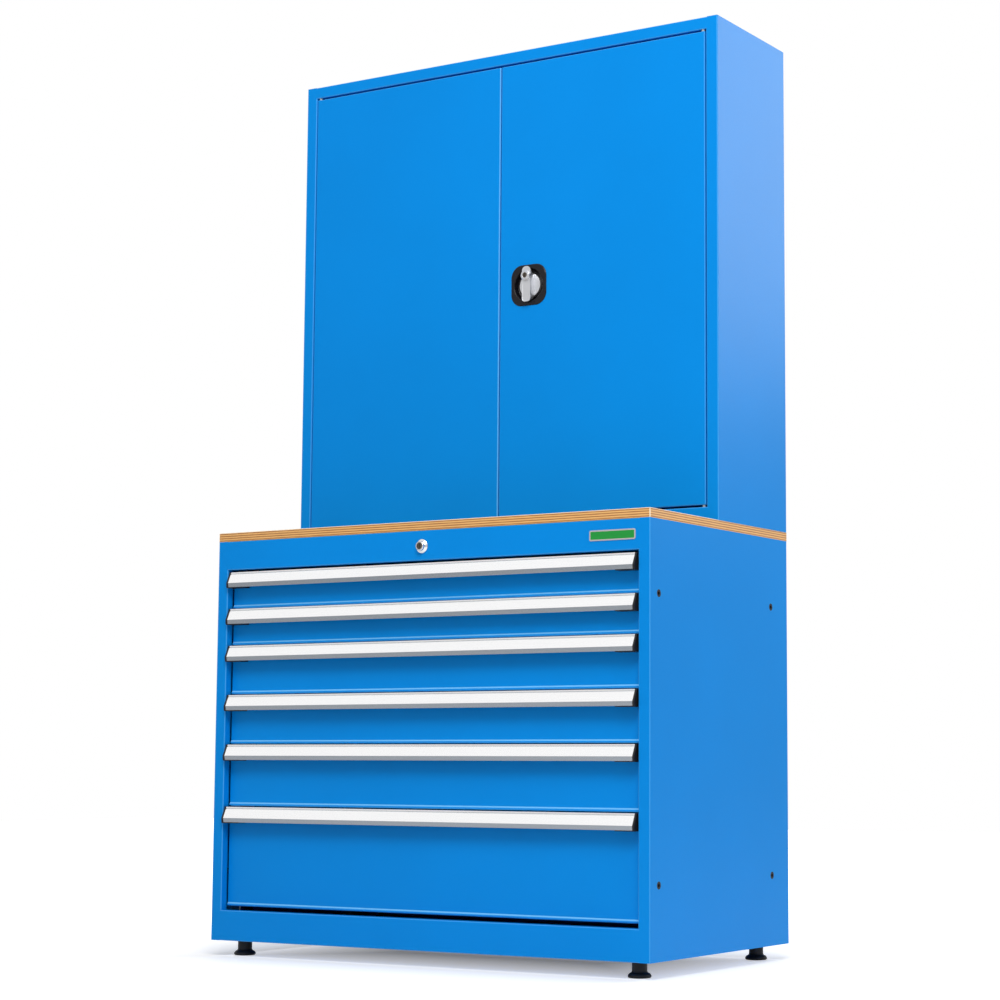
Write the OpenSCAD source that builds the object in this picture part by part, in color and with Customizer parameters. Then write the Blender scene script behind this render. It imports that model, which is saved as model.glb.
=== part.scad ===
// Steel tool cabinet: a housing with six drawers under a plywood worktop, and an
// upper cabinet with two hinged doors, shelves and a rod lock.
// Millimetres, +X right, +Y to the back, +Z up, origin on the floor in the middle
// of the outline. Drawers are numbered from the top.

/* [Housings] */
// Width over the side panels of both housings
width = 1023; // [900:1:1300]
// Depth of the base housing, without the drawer grips
base_depth = 555; // [500:1:700]
// Depth of the upper housing
upper_depth = 291; // [230:1:400]
// Height of the upper housing
upper_height = 1004; // [800:1:1200]
// Sheet thickness of both housings
wall = 1.5; // [1.2:0.1:2]
// Inner radius of every sheet bend
bend = 1; // [0.6:0.1:1.5]
// Width of the flange that each side panel folds behind the back panel
back_flange = 20; // [15:1:30]

/* [Base front] */
// Width of the stiles beside the drawers
stile_w = 25; // [22:1:40]
// Depth of the stiles' return beside the drawer fronts
stile_return = 17; // [12:1:22]
// Height of the fascia under the worktop
fascia_h = 58.5; // [50:0.5:90]
// Height of the plinth under the drawers
plinth_h = 60; // [45:1:100]
// Depth of the fascia's and the plinth's folded edges
rail_return = 20; // [14:1:24]
// Gap between the plinth and the lowest drawer bay
plinth_gap = 8; // [5:0.5:15]
// Gap between the top drawer bay and the fascia
fascia_gap = 3.5; // [2.5:0.5:8]

/* [Drawers] */
// Height of the bay of drawer 1
bay_1 = 75; // [75:5:150]
// Height of the bay of drawer 2
bay_2 = 75; // [75:5:150]
// Height of the bay of drawer 3
bay_3 = 100; // [75:5:200]
// Height of the bay of drawer 4
bay_4 = 100; // [75:5:200]
// Height of the bay of drawer 5
bay_5 = 125; // [75:5:250]
// Height of the bay of drawer 6
bay_6 = 200; // [75:5:300]
// Distance of the drawer fronts behind the housing's front
recess = 17.5; // [14:0.5:22]
// Gap between a drawer front and each stile
front_gap = 3.5; // [2:0.5:6]
// Sheet thickness of the drawers and the doors
sheet = 1.2; // [1:0.1:1.5]
// Height of the flared lower edge of a drawer front
kick_h = 7; // [5:0.5:10]
// Distance that the flared edge comes forward
kick_out = 4.5; // [3:0.5:6]
// Space between a drawer and the back panel
back_space = 32; // [25:1:60]
// Width of the hem on the drawers' side walls
tub_hem = 8; // [5:1:12]
// Thickness of a telescopic slide
slide_t = 13; // [12.5:0.5:16]
// Height of a telescopic slide
slide_h = 36; // [32:1:40]

/* [Grips] */
// Height of the aluminium grip
grip_h = 31; // [28:1:36]
// Distance of the grip's caps in front of the housing
grip_proud = 9; // [6:0.5:14]
// Distance of the ridge under the grip's top
grip_ridge = 22.5; // [19:0.5:26]
// Wall of the aluminium grip
grip_wall = 1.8; // [1.4:0.1:2.4]
// Thickness of the end caps
cap_t = 4; // [3:0.5:6]
// Length of the caps' plugs in the grip
plug_len = 38; // [20:1:50]

/* [Worktop] */
// Thickness of the plywood worktop
top_t = 18; // [15:1:40]
// Chamfer along the worktop's edges
top_chamfer = 1; // [0.5:0.1:2]

/* [Upper front] */
// Width of the upper side stiles
upper_stile = 26; // [22:1:40]
// Height of the upper top rail
upper_top_rail = 24.5; // [20:0.5:50]
// Height of the upper bottom rail
upper_bottom_rail = 27; // [20:0.5:60]
// Depth of the return inside the door opening
upper_return = 24; // [20:1:30]
// Gap between the doors and the stiles
door_side_gap = 2.5; // [2:0.1:4]
// Gap above and below the doors
door_end_gap = 4.2; // [3:0.1:6]
// Gap between the two doors
door_mid_gap = 2.5; // [1.5:0.1:5]
// Thickness of the folded doors
door_t = 20; // [19:1:25]
// Radius of the hinge pins
pin_r = 2.5; // [2:0.1:3.2]
// Distance of the hinge pins behind the doors' face
pin_back = 5; // [4.6:0.1:7]
// Distance of the hinge pins from the doors' edge
pin_side = 5.5; // [5.2:0.1:8]

/* [Shelves] */
// Height of the lower shelf's top over the upper housing's bottom
shelf_low = 350; // [150:50:450]
// Height of the upper shelf's top over the upper housing's bottom
shelf_high = 650; // [500:50:700]
// Height of the shelves' folded edges
shelf_edge = 25; // [15:1:35]

/* [Door lock] */
// Distance of the handle from the middle of the cabinet
handle_x = 72; // [60:1:150]
// Height of the handle over the upper housing's bottom
handle_up = 506; // [420:1:560]
// Side of the rounded square dish
dish_side = 85; // [80:1:100]
// Radius of the dish's hollow
dish_r = 35; // [30:1:37]
// Length of the wing
wing_len = 76; // [60:1:90]
// Width of the wing
wing_w = 22; // [18:1:26]
// Distance of the wing's front in front of the doors
wing_proud = 25; // [18:1:32]
// Radius of the crank pins that drive the rods
crank_r = 14; // [12:0.5:15]

/* [Drawer lock] */
// Distance of the lock under the worktop
lock_drop = 31; // [25:0.5:33]
// Radius of the lock's bezel
bezel_r = 11; // [10:0.5:14]
// Travel of the locking bar
lock_travel = 12; // [10:0.5:13]

/* [Feet and side threads] */
// Height of the feet
foot_h = 31; // [25:1:50]
// Radius of the feet's discs
foot_r = 22; // [18:1:30]
// Distance of the feet from the sides of the housing
foot_x_inset = 49.5; // [45:0.5:70]
// Distance of the feet from the front and the back
foot_y_inset = 48; // [42:1:58]
// Distance of the front threads behind the housing's front
thread_inset = 32; // [29:1:33]
// Distance of the lower threads above the housing's underside
thread_low = 137; // [100:1:160]
// Distance between the threads, front to back
thread_pitch_y = 450; // [400:1:450]
// Distance between the threads, low to high
thread_pitch_z = 530; // [400:1:560]
// Radius of the threaded bore
thread_r = 3.4; // [2.5:0.1:4.3]

/* [Hidden] */
$fn = 48;

// Finishes
blue = [0, 0.42, 0.82];
silver = [0.82, 0.82, 0.84];
black = [0.08, 0.08, 0.09];
zinc = [0.6, 0.62, 0.64];
birch = [0.86, 0.65, 0.38];
nylon = [0.93, 0.93, 0.9];

// Clearances
run = 0.05;    // radial play of a shaft in its bore
seat = 0.3;    // play between flat pieces that move
nest = 0.4;    // play between the members of a slide
loose = 0.5;   // play of a driving pin in its slot
eps = 0.01;    // overlap of shapes joined into one piece

// Housing planes
half_w = width / 2;
front = (grip_proud - base_depth) / 2;
back = front + base_depth;
back_face = back - 2 * wall;
fold_r = wall + bend;
base_z = foot_h;
plinth_z = base_z + plinth_h;
open_x = half_w - stile_w;
seam_x = open_x + fold_r;

// Drawer bays, from the top down
bays = [bay_1, bay_2, bay_3, bay_4, bay_5, bay_6];
function stack(i) = i >= len(bays) ? 0 : bays[i] + stack(i + 1);
function bay_z(i) = plinth_z + plinth_gap + stack(i + 1);
function bay_top(i) = bay_z(i) + bays[i];
fascia_z = bay_top(0) + fascia_gap;
top_z = fascia_z + fascia_h;

// Drawer planes
front_x = open_x - front_gap;
face_y = front + recess;
front_return = 12;
kick_up = 0.5;
tub_x = open_x - slide_t;
tub_y0 = face_y + front_return;
tub_y1 = back_face - back_space;
tub_up = 6;
tub_down = 17;
slide_y0 = front + 45;
slide_y1 = tub_y1 - 4;
slide_up = tub_up + 2 + slide_h / 2;
slide_wall = 1.5;
slide_in = 1.2;

// Posts that carry the slides
post_y = [front + 60, back_face - 122];
post_w = 40;

// Locking bar: tabs rise in front of a lug on each drawer
bar_x = open_x + 2;
bar_t = 2;
bar_y0 = front + 43;
bar_y1 = front + 58;
tab_up = slide_up + slide_h / 2 + 4;
tab_t = 6;
lug_up = tab_up + tab_t + 1.5;
lug_h = lock_travel;
lock_z = top_z - lock_drop;
plug_r = 6;
cam_pin_r = 3;
cam_back = 22;
cam_t = 3;
crank = lock_travel / (2 * sin(45));
link_y0 = front + cam_back + cam_t + 1.2;
link_t = 3;
bar_pin_drop = 18;
bar_pin = [bar_x + bar_t / 2, lock_z - bar_pin_drop];
bar_low = 6;
bar_over = 8;
tab_side = 5;
tab_y0 = bar_y0 + 3;
tab_y1 = bar_y1 - 2;

// Worktop and upper housing planes
upper_z = top_z + top_t;
full_z = upper_z + upper_height;
upper_front = back - upper_depth;
upper_x = half_w - upper_stile;
open_low = upper_z + upper_bottom_rail;
open_high = full_z - upper_top_rail;

// Doors
door_x0 = door_mid_gap / 2;
door_x1 = upper_x - door_side_gap;
door_low = open_low + door_end_gap;
door_high = open_high - door_end_gap;
door_back = upper_front + door_t;
door_return = 12;
pin_x = door_x1 - pin_side;
pin_y = upper_front + pin_back;
pin_deep = 14;
pin_plate = 2.5;
pin_plate_w = 12;
boss_r = pin_back - 0.4;

// Door lock, measured outwards from the doors' face
handle_z = upper_z + handle_up;
dish_deep = 10.5;
dish_wall = 2.5;
spindle_r = 4;
cam_out = -21.5;
cam_thick = 3;
drive_r = 3;
rod_out = -18.2;
rod_t = 3;
rod_w = 10;
rod_x = 12;
rod_hide = 2;
crank_side = crank_r * cos(45);
key_r = 6;
key_up = 18;
case_x = dish_r + 5;
case_out = cam_out - 0.5;
case_t = 1.5;
case_half = 28;
case_flange = 14;
guide_near = 120;
guide_far = 60;
guide_half_h = 6;
guide_half_w = 9;
guide_side = 2;
guide_back = 0.5;

// Shelf strips
strip_x = half_w - wall - 6;
strip_w = 20;
strip_y = [upper_front + 60, back_face - 40];
strip_end = 20;
slot_pitch = 50;
slot_half_w = 6;
slot_half_h = 3;
slot_edge = 12;
clip_t = 2;

// Feet and threads
foot_x = half_w - foot_x_inset;
foot_y = [front + foot_y_inset, back - foot_y_inset];
stem_r = 5;
neck_r = 14.2;
insert_r = 7.25;
insert_len = 15;
insert_step = 1.5;
insert_rim = 2;
thread_y = [front + thread_inset, front + thread_inset + thread_pitch_y];
thread_z = [base_z + thread_low, base_z + thread_low + thread_pitch_z];

// Screws into the worktop and bolts of the upper housing
screw_x = [55 - half_w, 0, half_w - 55];
screw_y = [front + 90, back - 60];
screw_r = 2.5;
bolt_r = 4;
bolt_x = half_w - 90;
bolt_y = [upper_front + 70, back - 70];

// ---------------------------------------------------------------- tools

module slab(low, high) translate(low) cube(high - low);

module along_x(x0, x1) translate([x0, 0, 0]) rotate([90, 0, 90])
    linear_extrude(x1 - x0) children();

module along_y(y0, y1) translate([0, y1, 0]) rotate([90, 0, 0])
    linear_extrude(y1 - y0) children();

module along_z(z0, z1) translate([0, 0, z0]) linear_extrude(z1 - z0) children();

module both_sides() {
    children();
    mirror([1, 0, 0]) children();
}

function unit(v) = v / norm(v);
function left_of(v) = [-v.y, v.x];
function turn(a, b, c) = let (u = b - a, v = c - b) atan2(u.x * v.y - u.y * v.x, u * v);

// Section of a sheet of thickness t folded along a path. The sheet lies on the
// left of the path, and every corner has the same inner radius. Legs lap a little
// into oblique bends, which keeps them one piece.
module fold(path, t) {
    last = len(path) - 1;
    function bent(i) = turn(path[i - 1], path[i], path[i + 1]);
    function face_r(i) = bent(i) > 0 ? bend + t : bend;
    function lap(i) = i == 0 || i == last || abs(bent(i)) == 90 ? 0 : eps;
    function leg(i) = i == 0 || i == last ? 0 : face_r(i) * tan(abs(bent(i)) / 2);
    for (i = [0 : last - 1])
        let (d = unit(path[i + 1] - path[i]),
             a = path[i] + (leg(i) - lap(i)) * d,
             b = path[i + 1] - (leg(i + 1) - lap(i + 1)) * d)
            polygon([a, b, b + t * left_of(d), a + t * left_of(d)]);
    for (i = [1 : last - 1])
        let (d0 = unit(path[i] - path[i - 1]),
             d1 = unit(path[i + 1] - path[i]),
             a = path[i] - leg(i) * d0,
             b = path[i] + leg(i) * d1,
             c = a + sign(bent(i)) * face_r(i) * left_of(d0),
             reach = 1.2 * (bend + t) / face_r(i) / cos(bent(i) / 2))
            intersection() {
                translate(c) difference() {
                    circle(bend + t);
                    circle(bend);
                }
                polygon([c, c + reach * (a - c), c + reach * (b - c)]);
            }
}

// Corner p of an outline rounded to radius r with a few points on the arc
function arc_at(a, p, b, r) =
    let (u = unit(a - p), v = unit(b - p),
         half = acos(u * v) / 2,
         c = p + unit(u + v) * r / sin(half),
         s = p + u * r / tan(half) - c,
         e = p + v * r / tan(half) - c,
         sweep = atan2(s.x * e.y - s.y * e.x, s * e))
    [for (k = [0 : 3]) let (w = sweep * k / 3)
        c + [s.x * cos(w) - s.y * sin(w), s.x * sin(w) + s.y * cos(w)]];

// Outline with each corner [x, y, r] rounded, or sharp where r is 0
function rounded(points) = let (n = len(points)) [for (i = [0 : n - 1])
    let (p = points[i], a = points[(i + n - 1) % n], b = points[(i + 1) % n])
    each p[2] == 0 ? [[p.x, p.y]] : arc_at([a.x, a.y], [p.x, p.y], [b.x, b.y], p[2])];

// Rectangle from a to b with its two corners at low y rounded
module blunt(a, b, r) {
    translate([a.x, a.y + r]) square([b.x - a.x, b.y - a.y - r]);
    translate([a.x + r, a.y]) square([b.x - a.x - 2 * r, r + eps]);
    for (x = [a.x + r, b.x - r]) translate([x, a.y + r]) circle(r);
}

module rounded_square(side, r) {
    square([side, side - 2 * r], center = true);
    square([side - 2 * r, side], center = true);
    for (x = [-1, 1], y = [-1, 1]) translate([x, y] * (side / 2 - r)) circle(r);
}

module stadium(length, w) {
    square([w, length - w], center = true);
    for (y = [-1, 1]) translate([0, y * (length - w) / 2]) circle(w / 2);
}

// Frames with +Z out of the front and +Y up, at the two locks
module at_lock() translate([0, front, lock_z]) rotate([90, 0, 0]) children();
module at_handle() translate([handle_x, upper_front, handle_z]) rotate([90, 0, 0]) children();

// ---------------------------------------------------------------- base housing

// Right side panel with its stile, stile return and back flange in one sheet
module base_side() color(blue) difference() {
    along_z(base_z, top_z) fold([
        [open_x, front + stile_return], [open_x, front], [half_w, front],
        [half_w, back], [half_w - back_flange, back]], wall);
    slab([open_x - 1, front - 1, fascia_z], [seam_x, front + stile_return + 1, top_z + 1]);
    slab([open_x - 1, front - 1, base_z - 1], [seam_x, front + stile_return + 1, plinth_z]);
    for (y = thread_y, z = thread_z) translate([half_w - 2 * wall, y, z]) rotate([0, 90, 0])
        cylinder(r = insert_r, h = 4 * wall);
}

// Room for a side panel's stile beside a sheet that is folded between the stiles
module stile_room(keep_low, keep_high, cut_x, cut_y) both_sides() {
    low = keep_low - full_z;
    high = keep_high + full_z;
    deep = cut_y + 4 * upper_return;
    slab([cut_x, cut_y - 1, low], [half_w + 1, cut_y + fold_r, high]);
    difference() {
        slab([cut_x, cut_y - 1, low], [half_w + 1, deep, high]);
        slab([cut_x - 1, cut_y - 2, keep_low], [half_w + 2, deep + 1, keep_high]);
    }
}

// Cover sheet folded down as the fascia, with two lugs that guide the transfer bar
module base_top() color(blue) {
    difference() {
        along_x(wall - half_w, half_w - wall) fold([
            [back_face, top_z], [front, top_z], [front, fascia_z],
            [front + rail_return, fascia_z]], wall);
        stile_room(top_z - wall, top_z, seam_x, front);
        at_lock() translate([0, 0, -2 * wall]) cylinder(r = bezel_r - 1.4, h = 3 * wall);
        for (x = screw_x, y = screw_y) translate([x, y, top_z - 2 * wall])
            cylinder(r = screw_r + seat, h = 3 * wall);
        for (x = [-bolt_x, bolt_x], y = bolt_y) translate([x, y, top_z - 2 * wall])
            cylinder(r = bolt_r + seat, h = 3 * wall);
    }
    for (x = [open_x / 3, open_x * 2 / 3]) difference() {
        slab([x, front + wall - eps, lock_z - 20], [x + 2, link_y0 + link_t + 4, lock_z + 4]);
        slab([x - 1, link_y0 - seat, lock_z - 16 - seat],
             [x + 3, link_y0 + link_t + seat, lock_z + seat]);
    }
}

// Floor sheet folded up as the plinth
module base_floor() color(blue) difference() {
    along_x(wall - half_w, half_w - wall) fold([
        [front + rail_return, plinth_z], [front, plinth_z], [front, base_z],
        [back_face, base_z]], wall);
    stile_room(base_z, base_z + wall, seam_x, front);
    for (x = [-foot_x, foot_x], y = foot_y) translate([x, y, base_z - wall])
        cylinder(r = stem_r + 1, h = 3 * wall);
}

module base_back() color(blue)
    slab([fold_r - half_w, back_face, base_z], [half_w - fold_r, back - wall, top_z]);

// Posts and the fixed members of the slides, with the guides of the locking bar
module drawer_rails() color(zinc) {
    both_sides() {
        for (y = post_y) along_z(base_z + wall, top_z - wall) fold([
            [half_w - wall, y + post_w], [open_x, y + post_w], [open_x, y],
            [half_w - wall, y]], wall);
        for (i = [0 : 5]) let (z = bay_z(i) + slide_up)
            along_y(slide_y0, slide_y1) fold([
                [open_x - slide_t + nest + slide_in, z - slide_h / 2], [open_x, z - slide_h / 2],
                [open_x, z + slide_h / 2],
                [open_x - slide_t + nest + slide_in, z + slide_h / 2]], slide_wall);
    }
    for (i = [0, 3, 5]) let (z = bay_z(i) + 16) difference() {
        slab([open_x + 0.5, bar_y0 - 2, z], [bar_x + bar_t + 3, post_y[0] + wall / 2, z + 8]);
        slab([bar_x - seat, bar_y0 - seat, z - 1], [bar_x + bar_t + seat, bar_y1 + seat, z + 9]);
    }
}

// Threaded inserts in the sides, flush outside, with a flange inside
module side_inserts() color(black) both_sides()
    for (y = thread_y, z = thread_z) translate([half_w, y, z]) rotate([0, -90, 0])
        difference() {
            union() {
                cylinder(r = insert_r - run, h = wall + insert_step);
                translate([0, 0, wall]) cylinder(r = insert_r + insert_rim, h = insert_step);
                translate([0, 0, wall])
                    cylinder(r = insert_r - insert_step, h = insert_len - wall);
            }
            translate([0, 0, -1]) cylinder(r = thread_r, h = insert_len + 2);
        }

// Plywood worktop with a small chamfer all round
module worktop() color(birch) difference() {
    intersection() {
        along_x(-half_w, half_w) polygon([
            [front, top_z], [back, top_z], [back, upper_z - top_chamfer],
            [back - top_chamfer, upper_z], [front + top_chamfer, upper_z],
            [front, upper_z - top_chamfer]]);
        along_y(front, back) polygon([
            [-half_w, top_z], [half_w, top_z], [half_w, upper_z - top_chamfer],
            [half_w - top_chamfer, upper_z], [top_chamfer - half_w, upper_z],
            [-half_w, upper_z - top_chamfer]]);
        along_z(top_z, upper_z) difference() {
            translate([-half_w, front]) square([width, base_depth]);
            for (sx = [-1, 1], y = [front, back]) translate([sx * half_w, y])
                rotate(45) square(top_chamfer * sqrt(2), center = true);
        }
    }
    for (x = screw_x, y = screw_y) translate([x, y, top_z - 1])
        cylinder(r = screw_r, h = top_t - 4);
    for (x = [-bolt_x, bolt_x], y = bolt_y) translate([x, y, top_z - 1])
        cylinder(r = bolt_r + seat, h = top_t + 2);
}

// Screws into the worktop, bolts down from the upper housing, nuts of the feet
module fasteners() color(zinc) {
    for (x = screw_x, y = screw_y) translate([x, y, top_z - wall]) {
        translate([0, 0, -3]) cylinder(r = 2.4 * screw_r, h = 3);
        translate([0, 0, -1]) cylinder(r = screw_r, h = top_t - 4 + wall);
    }
    for (x = [-bolt_x, bolt_x], y = bolt_y) translate([x, y, 0]) {
        translate([0, 0, upper_z + wall]) cylinder(r = 2 * bolt_r, h = 1.6);
        translate([0, 0, upper_z + wall + 1.6]) cylinder(r = 1.8 * bolt_r, h = 5.3, $fn = 6);
        translate([0, 0, top_z - wall - 9])
            cylinder(r = bolt_r, h = upper_z + wall - (top_z - wall - 9) + 1);
        translate([0, 0, top_z - wall - 6.5]) cylinder(r = 1.8 * bolt_r, h = 6.5, $fn = 6);
    }
    for (x = [-foot_x, foot_x], y = foot_y) translate([x, y, base_z + wall]) difference() {
        union() {
            translate([-20, -20, 0]) cube([40, 40, 3]);
            cylinder(r = 2 * stem_r, h = 11, $fn = 6);
        }
        translate([0, 0, -1]) cylinder(r = stem_r + run, h = 13);
    }
}

// ---------------------------------------------------------------- drawer lock

// Barrel with its bezel in front and its nut behind the fascia
module lock_barrel() color(silver) at_lock() difference() {
    union() {
        rotate_extrude() polygon([[plug_r + 1, 0], [bezel_r, 0], [bezel_r, 1.4],
            [bezel_r - 1.8, 3.4], [plug_r + 1, 3.4]]);
        translate([0, 0, 0.2 - cam_back]) cylinder(r = bezel_r - 1.5, h = cam_back);
        translate([0, 0, -wall - 5]) cylinder(r = bezel_r + 3, h = 5, $fn = 6);
    }
    translate([0, 0, -cam_back - 1]) cylinder(r = plug_r + run, h = cam_back + 6);
}

// Plug with its key slot, cam and crank pin
module lock_plug() color(zinc) at_lock() difference() {
    union() {
        translate([0, 0, -cam_back]) cylinder(r = plug_r, h = cam_back + 2.8);
        translate([0, 0, -cam_back - cam_t]) cylinder(r = crank + cam_pin_r + 2, h = cam_t);
        translate([-crank * sin(45), -crank * cos(45), -cam_back - cam_t - 1.2 - link_t - 1])
            cylinder(r = cam_pin_r, h = 1.2 + link_t + 1 + eps);
    }
    translate([-0.8, -3.6, -3]) cube([1.6, 7.2, 7]);
}

// Bar that the crank pin pushes sideways, with the ramp that lifts the locking bar
module transfer_bar() color(zinc) along_y(link_y0, link_y0 + link_t) difference() {
    pin_h = lock_z - crank * (1 + cos(45)) / 2;
    slot_h = crank * (1 - cos(45)) + 2 * (cam_pin_r + loose);
    slot_w = 2 * (cam_pin_r + loose);
    end_w = slot_w / 2 + 3;
    union() {
        translate([-crank * sin(45) - end_w, lock_z - 16])
            square([bar_pin.x + end_w + crank * sin(45), 16]);
        translate([bar_pin.x - lock_travel - end_w, bar_pin.y - end_w - 2])
            square([lock_travel + 2 * end_w, lock_travel + 2 * end_w + 2]);
    }
    translate([-crank * sin(45) - slot_w / 2, pin_h - slot_h / 2]) square([slot_w, slot_h]);
    for (k = [0, 1]) translate(bar_pin + k * [-lock_travel, lock_travel]) circle(slot_w / 2);
    translate(bar_pin + [-lock_travel, lock_travel] / 2) rotate(-45)
        square([lock_travel * sqrt(2), slot_w], center = true);
}

// Upright bar with a tab for each drawer
module locking_bar() color(zinc) {
    slab([bar_x, bar_y0, bay_z(5) + bar_low], [bar_x + bar_t, bar_y1, bar_pin.y + bar_over]);
    for (i = [0 : 5]) slab([tub_x + tab_side, tab_y0, bay_z(i) + tab_up],
        [bar_x + eps, tab_y1, bay_z(i) + tab_up + tab_t]);
    translate([bar_pin.x, bar_y1, bar_pin.y]) rotate([90, 0, 0])
        cylinder(r = cam_pin_r, h = bar_y1 - link_y0 + 1);
}

// ---------------------------------------------------------------- feet

module foot(x, y) color(black) translate([x, y, 0]) {
    rotate_extrude() polygon(rounded([
        [0, 0, 0], [foot_r - 2, 0, 1.5], [foot_r, 3.5, 1.8], [foot_r - 3.5, 8.5, 2],
        [neck_r + 1, 10, 2.5], [neck_r, foot_h - seat, 0.5], [0, foot_h - seat, 0]]));
    translate([0, 0, foot_h - 1]) cylinder(r = stem_r, h = 45);
}

// ---------------------------------------------------------------- upper housing

// Right side panel with its stile, the return in the door opening and its back flange
module upper_side() color(blue) difference() {
    along_z(upper_z, full_z) fold([
        [upper_x, upper_front + upper_return], [upper_x, upper_front],
        [half_w, upper_front], [half_w, back], [half_w - back_flange, back]], wall);
    slab([upper_x - 1, upper_front - 1, open_high],
         [upper_x + fold_r, upper_front + upper_return + 1, full_z + 1]);
    slab([upper_x - 1, upper_front - 1, upper_z - 1],
         [upper_x + fold_r, upper_front + upper_return + 1, open_low]);
}

// Square hole that a rod enters, in the return above or below the doors
module rod_hole(x, z) slab([x - rod_w / 2 - 1, upper_front - rod_out - rod_t - 1, z - 4],
                           [x + rod_w / 2 + 1, upper_front - rod_out + 1, z + 4]);

module upper_top() color(blue) difference() {
    along_x(wall - half_w, half_w - wall) fold([
        [back_face, full_z], [upper_front, full_z], [upper_front, open_high],
        [upper_front + upper_return, open_high]], wall);
    stile_room(full_z - wall, full_z, upper_x + fold_r, upper_front);
    for (x = [-pin_x, pin_x]) translate([x, pin_y, open_high - 1])
        cylinder(r = pin_r + run, h = wall + 2);
    rod_hole(handle_x + rod_x, open_high);
}

module upper_bottom() color(blue) difference() {
    along_x(wall - half_w, half_w - wall) fold([
        [upper_front + upper_return, open_low], [upper_front, open_low],
        [upper_front, upper_z], [back_face, upper_z]], wall);
    stile_room(upper_z, upper_z + wall, upper_x + fold_r, upper_front);
    for (x = [-pin_x, pin_x]) translate([x, pin_y, open_low - wall - 1])
        cylinder(r = pin_r + run, h = wall + 2);
    rod_hole(handle_x - rod_x, open_low);
    for (x = [-bolt_x, bolt_x], y = bolt_y) translate([x, y, upper_z - wall])
        cylinder(r = bolt_r + seat, h = 3 * wall);
}

module upper_back() color(blue)
    slab([fold_r - half_w, back_face, upper_z], [half_w - fold_r, back - wall, full_z]);

strip_low = upper_z + wall + strip_end;
strip_high = full_z - wall - strip_end;
slots = floor((strip_high - strip_low - slot_pitch) / slot_pitch);
shelf_z = [upper_z + shelf_low, upper_z + shelf_high];

// Height of the slot under a shelf, from which the row of slots is counted
function slot_z(k) = shelf_z[0] - shelf_edge - clip_t / 2 + k * slot_pitch;

module strip_slot(y, z) slab([strip_x - 1, y - slot_half_w, z - slot_half_h],
                             [strip_x + wall + 0.5, y + slot_half_w, z + slot_half_h]);

// Slotted strips that carry the shelf clips
module shelf_strips() color(blue) both_sides() for (y = strip_y) difference() {
    along_z(strip_low, strip_high) fold([
        [half_w - wall, y + strip_w / 2], [strip_x, y + strip_w / 2],
        [strip_x, y - strip_w / 2], [half_w - wall, y - strip_w / 2]], wall);
    for (k = [-slots : slots])
        if (slot_z(k) > strip_low + slot_edge && slot_z(k) < strip_high - slot_edge)
            strip_slot(y, slot_z(k));
    strip_slot(y, shelf_z[1] - shelf_edge - clip_t / 2);
}

// Bent clips hooked into the strips, two at each end of a shelf
module shelf_clips() color(zinc) both_sides()
    for (y = strip_y, z = shelf_z) let (under = z - shelf_edge) {
        slab([strip_x - 14, y - 7, under - clip_t], [strip_x, y + 7, under]);
        slab([strip_x - eps, y - 5, under - clip_t], [strip_x + wall + 2, y + 5, under]);
        slab([strip_x - clip_t, y - 7, under - 12], [strip_x, y + 7, under - eps]);
        along_y(y - clip_t / 2, y + clip_t / 2) polygon([
            [strip_x - 1, under - clip_t + eps], [strip_x - 13, under - clip_t + eps],
            [strip_x - 1, under - 11]]);
    }

// Shelves with folded edges
module shelves() color(blue) for (z = shelf_z) {
    x = strip_x - 1;
    y0 = door_back + 12;
    y1 = back_face - 3;
    along_x(-x, x) fold([[y1 - 12, z - shelf_edge], [y1, z - shelf_edge], [y1, z],
        [y0, z], [y0, z - shelf_edge], [y0 + 12, z - shelf_edge]], wall);
    for (sx = [-x, x - wall]) slab([sx, y0 + wall / 2, z - shelf_edge],
        [sx + wall, y1 - wall / 2, z - wall / 2]);
}

// Hinge pins on plates welded to the returns above and below the doors
module hinge_pins() color(zinc) both_sides() for (up = [0, 1]) {
    z = up ? open_high + wall : open_low - wall;
    inner = up ? door_high - pin_deep : door_low + pin_deep;
    head = up ? z : z - pin_plate;
    from = up ? inner : z - 1;
    translate([pin_x, pin_y, from]) cylinder(r = pin_r, h = abs(z - inner) + 1);
    slab([pin_x - pin_plate_w / 2, upper_front + fold_r + seat, head],
         [pin_x + pin_plate_w / 2, pin_y + pin_plate_w / 2 + 2, head + pin_plate]);
}

// White washers that carry the doors on the returns
module hinge_bushes() color(nylon) both_sides()
    for (z = [open_high - door_end_gap + seat, open_low])
        translate([pin_x, pin_y, z]) difference() {
            cylinder(r = pin_r + 1, h = door_end_gap - seat);
            translate([0, 0, -1]) cylinder(r = pin_r + run, h = door_end_gap + 2);
        }

// ---------------------------------------------------------------- doors

// Solid in the shape of a door's outside, or of its inside where it is inset
module door_block(inset, deep) {
    r = bend + sheet - inset;
    y = upper_front + inset;
    intersection() {
        along_z(door_low + inset, door_high - inset)
            blunt([door_x0 + inset, y], [door_x1 - inset, deep], r);
        along_x(door_x0 + inset, door_x1 - inset) mirror([1, -1, 0])
            blunt([door_low + inset, y], [door_high - inset, deep], r);
    }
}

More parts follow.
